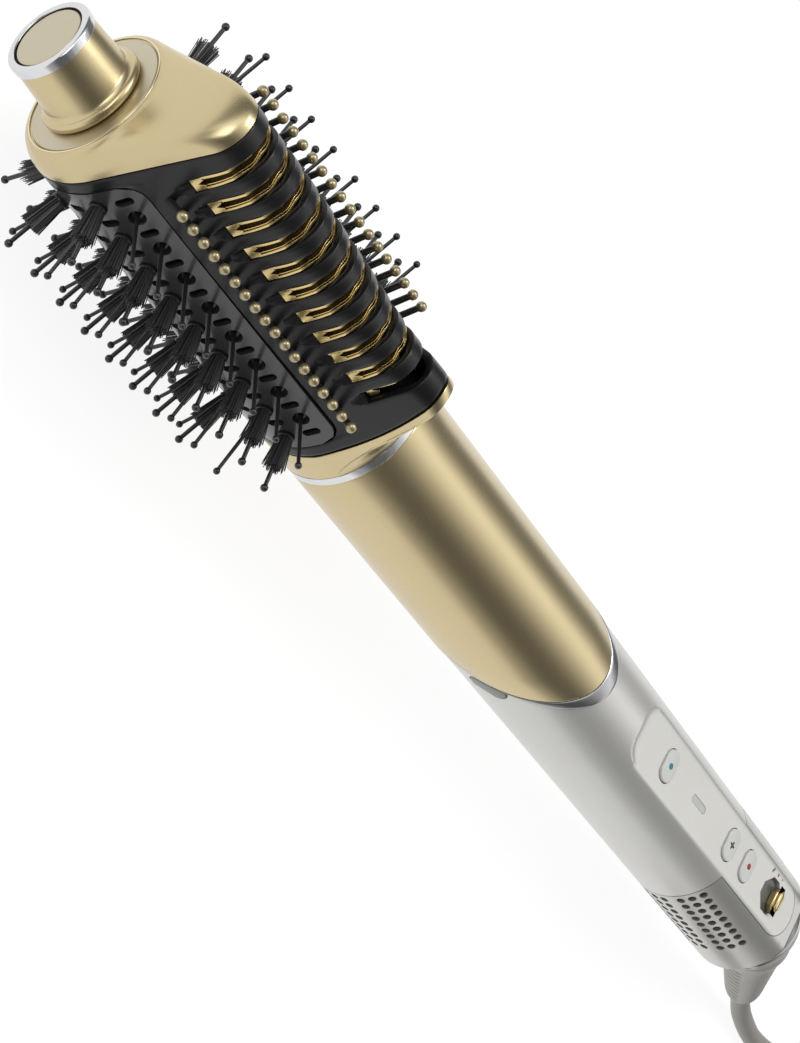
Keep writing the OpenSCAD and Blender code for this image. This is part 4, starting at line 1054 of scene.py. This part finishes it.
# The bristle panel is a glossy dark grey moulding with a dimple for each pin, a socket for
# each tuft, and a vent slot between them. It is clipped into the frame's window.
ROW_STEP = 20
ROW_PITCH = 10.1
PIN_START = 13.8
TUFT_START = 8.4
PIN_ROWS = range(3, 16, 2)
TUFT_ROWS = range(4, 15, 2)
ROW_ROOM = 3
PANEL_T = 1.6
PANEL_GAP = 0.28
PANEL_CENTRE = 31.2
PANEL_NOSE = 8.8
PANEL_LEAN = math.acos((BARREL_R - PANEL_NOSE) / PANEL_CENTRE)
PANEL_GRID = (96, 60)
VENT = (4.7, 2.2)
SOCKET_D = 4.3


def stations(row, start):
    """The places of a row's pins, tufts or vents, as matrices on the axis facing outwards."""
    turn = math.radians(row * ROW_STEP)
    foot = arch(BARREL_R * math.cos(turn), -BORDER - ROW_ROOM)
    fits = math.floor((foot - CAP_SEAM - start) / ROW_PITCH + 1)
    return [Matrix.Rotation(turn, 4, "Z")
            @ Matrix.Translation((0, 0, CAP_SEAM + start + k * ROW_PITCH))
            @ Matrix.Rotation(QUARTER, 4, "Y") for k in range(fits)]


def all_stations(shift=0.0):
    """The places of every pin and tuft, or of the vents between them at half a pitch's shift."""
    starts = (PIN_ROWS, PIN_START - shift), (TUFT_ROWS, TUFT_START + shift)
    return [place for rows, start in starts for row in rows for place in stations(row, start)]


def panel_spot(column, row):
    """Across: edge to edge round the back. Along: window line to window line, with corners."""
    across = 2 * column / PANEL_GRID[0] - 1
    side = 1 if across < 0 else -1
    step = row / PANEL_GRID[1]
    length = arch(0, -BORDER - PANEL_GAP) - CAP_SEAM - BORDER - PANEL_GAP
    from_end = min(step, 1 - step) * length
    limit = (corner_edge(from_end) if from_end < CORNER else PANEL_EDGE) - PANEL_GAP
    arc_len = BARREL_R * (math.pi - PANEL_LEAN)
    flat_len = (limit - BARREL_R * math.cos(PANEL_LEAN)) / math.sin(PANEL_LEAN)
    way = (1 - abs(across)) * (arc_len + flat_len)
    if way < flat_len:
        n = limit - way * math.sin(PANEL_LEAN)
        t = flank(n, PANEL_CENTRE, PANEL_NOSE, PANEL_LEAN)
    else:
        angle = PANEL_LEAN + (way - flat_len) / BARREL_R
        n, t = BARREL_R * math.cos(angle), BARREL_R * math.sin(angle)
    low = CAP_SEAM + CAP_TILT * n + BORDER + PANEL_GAP
    return n, side * t, low + (arch(n, -BORDER - PANEL_GAP) - low) * step


panel_grey = satin("panel_grey", (0.046, 0.046, 0.047), (0.038, 0.038, 0.039), 0.22, 400, 0.01,
                   change=0.08, Coat_Weight=0.2, Coat_Roughness=0.12)
panel = piece("panel", wrapped(*PANEL_GRID, panel_spot), "bristle_panel", panel_grey,
              40)
walled(panel, PANEL_T)
vent_tool = pill(*VENT, BARREL_R - 6, BARREL_R + 4, segments=20, upright=True)
socket_tool = rod(24, SOCKET_D / 2, 10)
bmesh.ops.translate(socket_tool, verts=socket_tool.verts, vec=(0, 0, BARREL_R - 1))
carved(panel, gathered((planted(vent_tool, all_stations(ROW_PITCH / 2)), Matrix()),
                       (planted(socket_tool, all_stations()), Matrix())))
eased(panel, 0.14, 40, 1)

# The pins are moulded in rows from satin black nylon, on strips clipped behind the panel.
# Each stands in a dished socket and ends in a small ball. The lowest row's balls are flat
# where the tool lies on them.
REACH = 35.3
PIN_FOOT = 18.3
LOWEST_ROW = 9
nylon = satin("nylon", (0.014, 0.014, 0.015), (0.02, 0.02, 0.021), 0.3, depth=0.01, Coat_Weight=0.2)


def pins(width, ball, socket, places):
    """A ball-ended pin with a flared foot, and the profile of its socket turned, at each place."""
    neck = math.asin(width / ball)
    line = [(0, PIN_FOOT), (width * 1.9, PIN_FOOT), (width * 1.35, PIN_FOOT + 0.9),
            (width * 1.05, PIN_FOOT + 2.2), (width, REACH - ball * math.cos(neck))]
    for k in range(1, 8):
        angle = neck + (math.pi - neck) * k / 7
        line.append((ball * math.sin(angle), REACH - ball * math.cos(angle)))
    return gathered((planted(lathed(line, 12), places), Matrix()),
                    (planted(lathed(socket, 20), places), Matrix()))


dish = [(0, 18.35), (1.2, 18.35), (1.55, 18.6), (1.8, 19.2), (1.9, 19.75), (2.05, 20.02),
        (2.25, 19.98), (2.3, 19.7), (2.3, 18.1), (0, 18.1)]
for number, row in enumerate(PIN_ROWS, 1):
    pins_bm = pins(0.47, 0.9, dish, stations(row, PIN_START))
    if row == LOWEST_ROW:
        pins_bm.transform(LAID)
        bmesh.ops.bisect_plane(pins_bm, geom=pins_bm.verts[:] + pins_bm.edges[:] + pins_bm.faces[:],
                               plane_co=(0, 0, 0.00001), plane_no=(0, 0, -1), clear_outer=True)
        bmesh.ops.holes_fill(pins_bm, edges=pins_bm.edges)
        pins_bm.transform(LAID.inverted())
    piece(f"pins_{number}", pins_bm, f"pin_row_{number}", nylon, 45)

# The tufts are bundles of fine dark strands, crimped in round sockets, with one ball-ended
# pin in the middle of each. The strands splay towards their ends.
STRANDS = 100
STRAND_R = (0.13, 0.12)
STRAND_LEN = (10.3, 10.8)
STRAND_LEAN = 0.075
STRAND_FOOT = 18.8
TUFT_R = 1.65
GOLDEN_TURN = 2.39996
strand_nylon = satin("strand_nylon", (0.05, 0.05, 0.051), (0.07, 0.07, 0.071), 0.42, depth=0.004)
shed = random.Random(7)


def strand(turn, spread, lean, length):
    """One strand, a three-sided taper that leans outwards, and its place in the tuft."""
    bm = rod(3, STRAND_R[0], length, STRAND_R[1])
    bmesh.ops.translate(bm, verts=bm.verts, vec=(0, 0, length / 2))
    return bm, (Matrix.Rotation(turn, 4, "Z") @ Matrix.Translation((spread, 0, STRAND_FOOT))
                @ Matrix.Rotation(lean, 4, "Y"))


tuft_root = [(0, 18.2), (1.95, 18.2), (1.95, 19.9), (2.2, 20.35), (2.15, 20.75), (1.85, 20.9),
             (1.6, 20.7), (1.5, 20.3), (0, 20.3)]
for number, row in enumerate(TUFT_ROWS, 1):
    places = stations(row, TUFT_START)
    shapes = []
    for k in range(STRANDS):
        spread = TUFT_R * math.sqrt((k + 0.5) / STRANDS)
        shapes.append(strand(k * GOLDEN_TURN + shed.uniform(-0.2, 0.2), spread,
                             STRAND_LEAN * spread * shed.uniform(0.92, 1.08),
                             shed.uniform(*STRAND_LEN)))
    piece(f"tufts_{number}", planted(gathered(*shapes), places), f"tuft_row_{number}",
          strand_nylon, 60)
    piece(f"tuft_pins_{number}", pins(0.55, 1.0, tuft_root, places), None, nylon,
          45)

# A comb of canted black stems with pearly gold balls stands along each side of the nose.
BALLS = 18
BALL_START = 11.8
BALL_PITCH = 4.3
BALL_R = 1.35
STEM_R = 0.87
STEM_LEN = 7.9
STEM_LEAN = math.radians(32)
STEM_ROOT = (19.5, 14.0)
stem_places = [
    Matrix.Translation((STEM_ROOT[0], side * STEM_ROOT[1],
                        CAP_SEAM + BALL_START + k * BALL_PITCH))
    @ Matrix.Rotation(side * STEM_LEAN, 4, "Z") @ Matrix.Rotation(QUARTER, 4, "Y")
    for side in BOTH_SIDES for k in range(BALLS)]
stem_bm = planted(lathed([(0, -4), (STEM_R, -4), (STEM_R * 1.25, -0.6), (STEM_R, 1.2),
                          (STEM_R * 0.95, STEM_LEN - 0.8), (0, STEM_LEN - 0.8)], 16), stem_places)
piece("ball_stems", stem_bm, "ball_combs", nylon, 40)
pearl_gold = Shader("pearl_gold", Metallic=0.75, Coat_Weight=0.5, Coat_Roughness=0.1)
pearl_gold.wear(pearl_gold.grain(700, 3), (0.44, 0.375, 0.22), (0.35, 0.29, 0.16), 0.3, 0.15)
pearl_gold.relief(pearl_gold.grain(1600, 3), 0.05)
ball = bmesh.new()
bmesh.ops.create_icosphere(ball, subdivisions=3, radius=BALL_R)
bmesh.ops.translate(ball, verts=ball.verts, vec=(0, 0, STEM_LEN))
piece("balls", planted(ball, stem_places), "ball_tips", pearl_gold.material, 60)

# Each slot holds two wavy gold fins that carry the heat to the hair. A dark sheet between them
# paints the shade there.
# Each fin is folded double from one sheet, and the two are joined by a flat at one end. They
# dip under the ribs at the ridge. The last slot holds the edge of one fin alone.
FIN_DROP = 0.35
FIN_DIP = 1.7
FIN_DEEP = 3.4
FIN_STEPS = 48
FIN_FOOT = 26.1
FIN_REACH = 1.34
FIN_RUN = 20
FIN_WAVE = 0.2
FIN_WAVES = 3.5


def fin(k, aside, wide, sunk):
    """One ribbon of a slot's fins, from its joined end over the nose to its other end."""
    middle = SLOT_AT + k * SLOT_PITCH
    centre, nose, lean = section(middle)

    def spot(column, row):
        share = row / FIN_STEPS
        way = (1 - 2 * share) * FIN_REACH
        angle = min(max(way, -1), 1) * lean
        drop = FIN_DROP + sunk + FIN_DIP * math.cos(QUARTER * min(abs(way), 1))
        over = FIN_RUN * max(abs(way) - 1, 0)
        n = centre + (nose - drop) * math.cos(angle) - over * math.sin(lean)
        t = (nose - drop) * math.sin(angle) + math.copysign(over * math.cos(lean), angle)
        wave = FIN_WAVE * math.sin(share * math.tau * FIN_WAVES + 0.5 * aside)
        edge = wide / 2 if column % 4 in (0, 1) else -wide / 2
        deep = FIN_DEEP if column % 4 in (1, 2) else 0
        return n - math.cos(angle) * deep, t - math.sin(angle) * deep, middle + aside + wave + edge
    return wrapped(4, FIN_STEPS, spot, filled=True), Matrix()


def joined_end(k, sunk=0.0):
    """The flat where the fins of a slot meet, notched between them."""
    outline = [(-1.66, 0), (1.66, 0), (1.66, 2.6), (0.75, 3.2), (0, 1.5), (-0.75, 3.2),
               (-1.66, 2.6)]
    bm = bmesh.new()
    bm.faces.new([bm.verts.new((x, y, 0)) for x, y in outline])
    foot, up, out = on_flank(k, FIN_FOOT)
    place = Matrix(((0, 0, 1, 0), (*up, 0), (*out, 0), (0, 0, 0, 1))).transposed()
    place.translation = foot - out * (FIN_DROP + sunk)
    return stood(bm, -2.5, 0), place


fin_gold = satin("fin_gold", (0.72, 0.575, 0.28), (0.66, 0.51, 0.235), 0.2, depth=0.01,
                 Metallic=1.0)
fin_shade = satin("fin_shade", (0.05, 0.034, 0.014), (0.035, 0.024, 0.01), 0.4, Metallic=0.5)
fin_shapes = [fin(k, *ribbon) for k in range(SLOTS - 1) for ribbon in (
    (-1.38, 0.58, 0), (-0.82, 0.3, 0.35), (0.82, 0.3, 0.35), (1.38, 0.58, 0))]
fin_shapes += [fin(SLOTS - 1, -1.4, 0.4, 0.5)]
fin_shapes += [joined_end(k) for k in range(SLOTS - 1)] + [joined_end(SLOTS - 1, 1.6)]
# Dark sheets in the slots between the fins, painting the shade there.
piece("fin_shade_sheets", gathered(*(fin(k, 0, 1.3, 1.9) for k in range(SLOTS - 1))), None,
      fin_shade, 35)
eased(piece("fins", gathered(*fin_shapes), "heat_fins", fin_gold, 35), 0.08, 40, 1)

# The end cap is a champagne moulding that closes the head. Its shoulders round over to a
# flat disc with a thin bright trim, which the cool tip stands on.
CAP_FACE = 17.9
CAP_DEEP = 8.5
CAP_LINE = smoothed([  # along the tool, centre and radius of the nose's rounding, back's radius
    (CAP_FACE, 0.5, 17.0, 17.45), (18.3, 1.9, 16.6, 17.95), (18.85, 7.4, 13.9, 18.35),
    (19.7, 13.4, 12.9, 18.75), (20.9, 19.6, 11.8, 19.15), (22.4, 25.6, 10.8, 19.55),
    (24.3, 30.2, 9.6, 19.82), (26.4, 32.15, 8.95, 19.9)], 5)
cap_rows = [(0, 1.6, 0.9), (0, 0.2, -0.02)] + [(k, 0, 0) for k in range(len(CAP_LINE))]
cap_rows += [(len(CAP_LINE) - 1, 0.3, 0.12), (len(CAP_LINE) - 1, 1.8, 0.12)]


def cap_spot(column, row):
    at, drop, shift = cap_rows[row]
    along, centre, nose, back = CAP_LINE[at]
    n, t = around(column / HEAD_STEPS, centre, nose - drop, back - drop)
    share = min(max((along - CAP_FACE) / CAP_DEEP, 0), 1)
    seam = CAP_SEAM - 0.02 + CAP_TILT * n
    return n, t, CAP_FACE + (seam - CAP_FACE) * share + shift


piece("end_cap_skin", wrapped(HEAD_STEPS, len(cap_rows) - 1, cap_spot), "end_cap",
      champagne, 50)
SEAM_STEPS = 80
SEAM_IN = 1.2


def seam_spot(column, row):
    """A dark strip behind the seams at both ends of the frame, which paints the shade in their
    gaps.
    """
    share = column / SEAM_STEPS
    if row < 2:
        n, t = around(share, 32.1, 7.75, BARREL_R - SEAM_IN)
        return n, t, CAP_SEAM + CAP_TILT * n + (-1.2, 1.8)[row]
    n, t = around(share, FOOT[0] - 0.3, FOOT[1] - SEAM_IN, BARREL_R - SEAM_IN)
    return n, t, arch(n, (-1.8, 1.4)[row - 2])


seam_bm = wrapped(SEAM_STEPS, 3, seam_spot, lambda column, row: 1 < row < 2)
# Black strips behind the seam gaps paint their shade.
seam_shade_strips = piece("seam_shade_strips", seam_bm, None, painted_shade_black)
walled(seam_shade_strips, 0.8)

# The flat disc on the cap is finished in the same paint, and the trim round it is polished.
disc_paint = champagne_paint("disc_paint", (0.56, 0.50, 0.37), 0.4)
trim_gold = satin("trim_gold", (0.76, 0.68, 0.48), (0.72, 0.64, 0.44), 0.16, depth=0.004,
                  Metallic=1.0)
cap_disc_bm = ringed([(9, 19, 0), (16.4, 19, 0), (16.4, 17.85, 0.25), (5.3, 17.85, 0),
                      (5.3, 19, 0)], HEAD_STEPS)
piece("cap_face", cap_disc_bm, "cap_disc", disc_paint, 40)
trim_bm = ringed([(17, 19.2, 0), (17.2, 19.2, 0), (17.2, 17.72, 0.18), (16.78, 17.72, 0.18),
                  (16.78, 19.2, 0)], HEAD_STEPS)
piece("cap_ring", trim_bm, "cap_trim", trim_gold, 40)

# The cool tip is a champagne knob with a beaded foot. A polished ring round its end holds a
# satin disc, with a thin groove between whose shade is painted by a black ring.
knob_bm = lathed(rounded([
    (0, 2.45, 0), (10.15, 2.45, 0.25), (10.75, 14.6, 1.4), (11.6, 15.25, 0.4), (12.5, 15.4, 1.1),
    (12.5, 17.75, 1.1), (5, 17.82, 0), (5, 23.8, 0), (0, 23.8, 0)]), 128)
piece("cool_knob", knob_bm, "tip_knob", champagne, 40)
tip_ring_bm = ringed([(9.6, 0, 0), (10.55, 0, 0.8), (10.6, 2.38, 0.2), (8.7, 2.38, 0),
                      (8.7, 0.02, 0.3)], 128)
piece("cool_ring", tip_ring_bm, "tip_ring", chrome, 40)
tip_disc_bm = lathed(rounded([(0, 0.3, 0), (8.2, 0.3, 0.3), (8.2, 1.6, 0), (0, 1.6, 0)]))
piece("cool_disc", tip_disc_bm, "tip_disc", disc_paint, 40)
# A black ring at the bottom of the groove paints its shade.
groove_bm = lathed([(8.0, 1.35), (8.8, 1.35), (8.8, 1.7), (8.0, 1.7)], ring=True)
piece("cool_groove_shade", groove_bm, None, painted_shade_black)

# The inner pieces keep their plain solids, with the finish that each one has.
for inner, finish in (
        ("coupling_spigot", nylon), ("spigot_flange", nylon), ("switches", nylon),
        ("motor_mount", nylon), ("impeller", nylon),
        ("heater_former", satin("mica_sheet", (0.42, 0.34, 0.22), (0.36, 0.29, 0.18), 0.5)),
        ("contact_strips", anodised), ("contact_block", anodised),
        ("circuit_board", satin("solder_mask", (0.01, 0.12, 0.05), (0.012, 0.1, 0.045), 0.3)),
        ("motor_can", satin("plated_steel", (0.5, 0.5, 0.5), (0.45, 0.45, 0.45), 0.3,
                            Metallic=1.0)),
        ("motor_shaft", chrome),
        ("filter_mesh", satin("mesh_steel", (0.09, 0.09, 0.09), (0.05, 0.05, 0.05), 0.45, 1800,
                              0.2, Metallic=0.6))):
    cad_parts[inner].data.materials.clear()
    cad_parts[inner].data.materials.append(finish)

# A pale studio. The floor is white paper that glows a little, as if lit from beneath. The sky
# is a soft box round the tool's length: bright to both sides, with a dark gap overhead that
# gives the satin metal its shading.
floor_bm = bmesh.new()
bmesh.ops.create_grid(floor_bm, x_segments=1, y_segments=1, size=6)
floor_paper = Shader("floor_paper", Emission_Color=(1, 1, 1), Emission_Strength=0.88)
floor_paper.wear(floor_paper.grain(3, 2), (0.2, 0.2, 0.2), (0.19, 0.19, 0.19), 0.8, 0.0)
floor = shown("floor", meshed(floor_bm, "floor"))
floor.data.materials.append(floor_paper.material)
SKY_POWER = 2.5
SKY = [  # angle about the tool's length from overhead, and brightness
    (-180, 0.5), (-95, 0.7), (-80, 0.2), (-60, 0.2), (-46, 0.7), (-31, 1.6), (-17, 1.2),
    (0, 0.66), (15, 0.3), (30, 0.15), (50, 0.14), (70, 0.45), (88, 1.1), (180, 0.5)]
sky = bpy.data.worlds.new("studio")
sky.use_nodes = True
sky_nodes = Nodes(sky.node_tree)
direction = sky_nodes.node("TexCoord", {}, {}, "Generated")
y, z = (sky_nodes.node("SeparateXYZ", {}, {0: direction}, part) for part in "YZ")
glow = sky_nodes.node("ValToRGB", {}, {0: y.maths("ARCTAN2", y, z) * (1 / math.tau) + 0.5})
ramp = glow.socket.node.color_ramp
ramp.interpolation = "EASE"
for k, (at, bright) in enumerate(SKY):
    place = (at + 180) / 360
    stop = (ramp.elements[0] if k == 0 else ramp.elements[-1] if k == len(SKY) - 1
            else ramp.elements.new(place))
    stop.position = place
    stop.color = (*3 * (bright / SKY_POWER,), 1)
backdrop = sky.node_tree.nodes["Background"].inputs
sky_nodes.put(backdrop["Color"], glow)
backdrop["Strength"].default_value = SKY_POWER
bpy.context.scene.world = sky
for name, at, size, power in (
        ("tip_panel", (1.3, 0.2, 0.9), 0.7, 4), ("window", (0.1, -0.8, 1.3), 0.5, 4.5)):
    lamp = bpy.data.lights.new(name, "AREA")
    lamp.size = size
    lamp.energy = power
    shown(name, lamp).matrix_world = (
        Matrix.Translation(at) @ aimed(Vector(at) - MM * Vector((0, 0, AXIS_H)), "Y"))
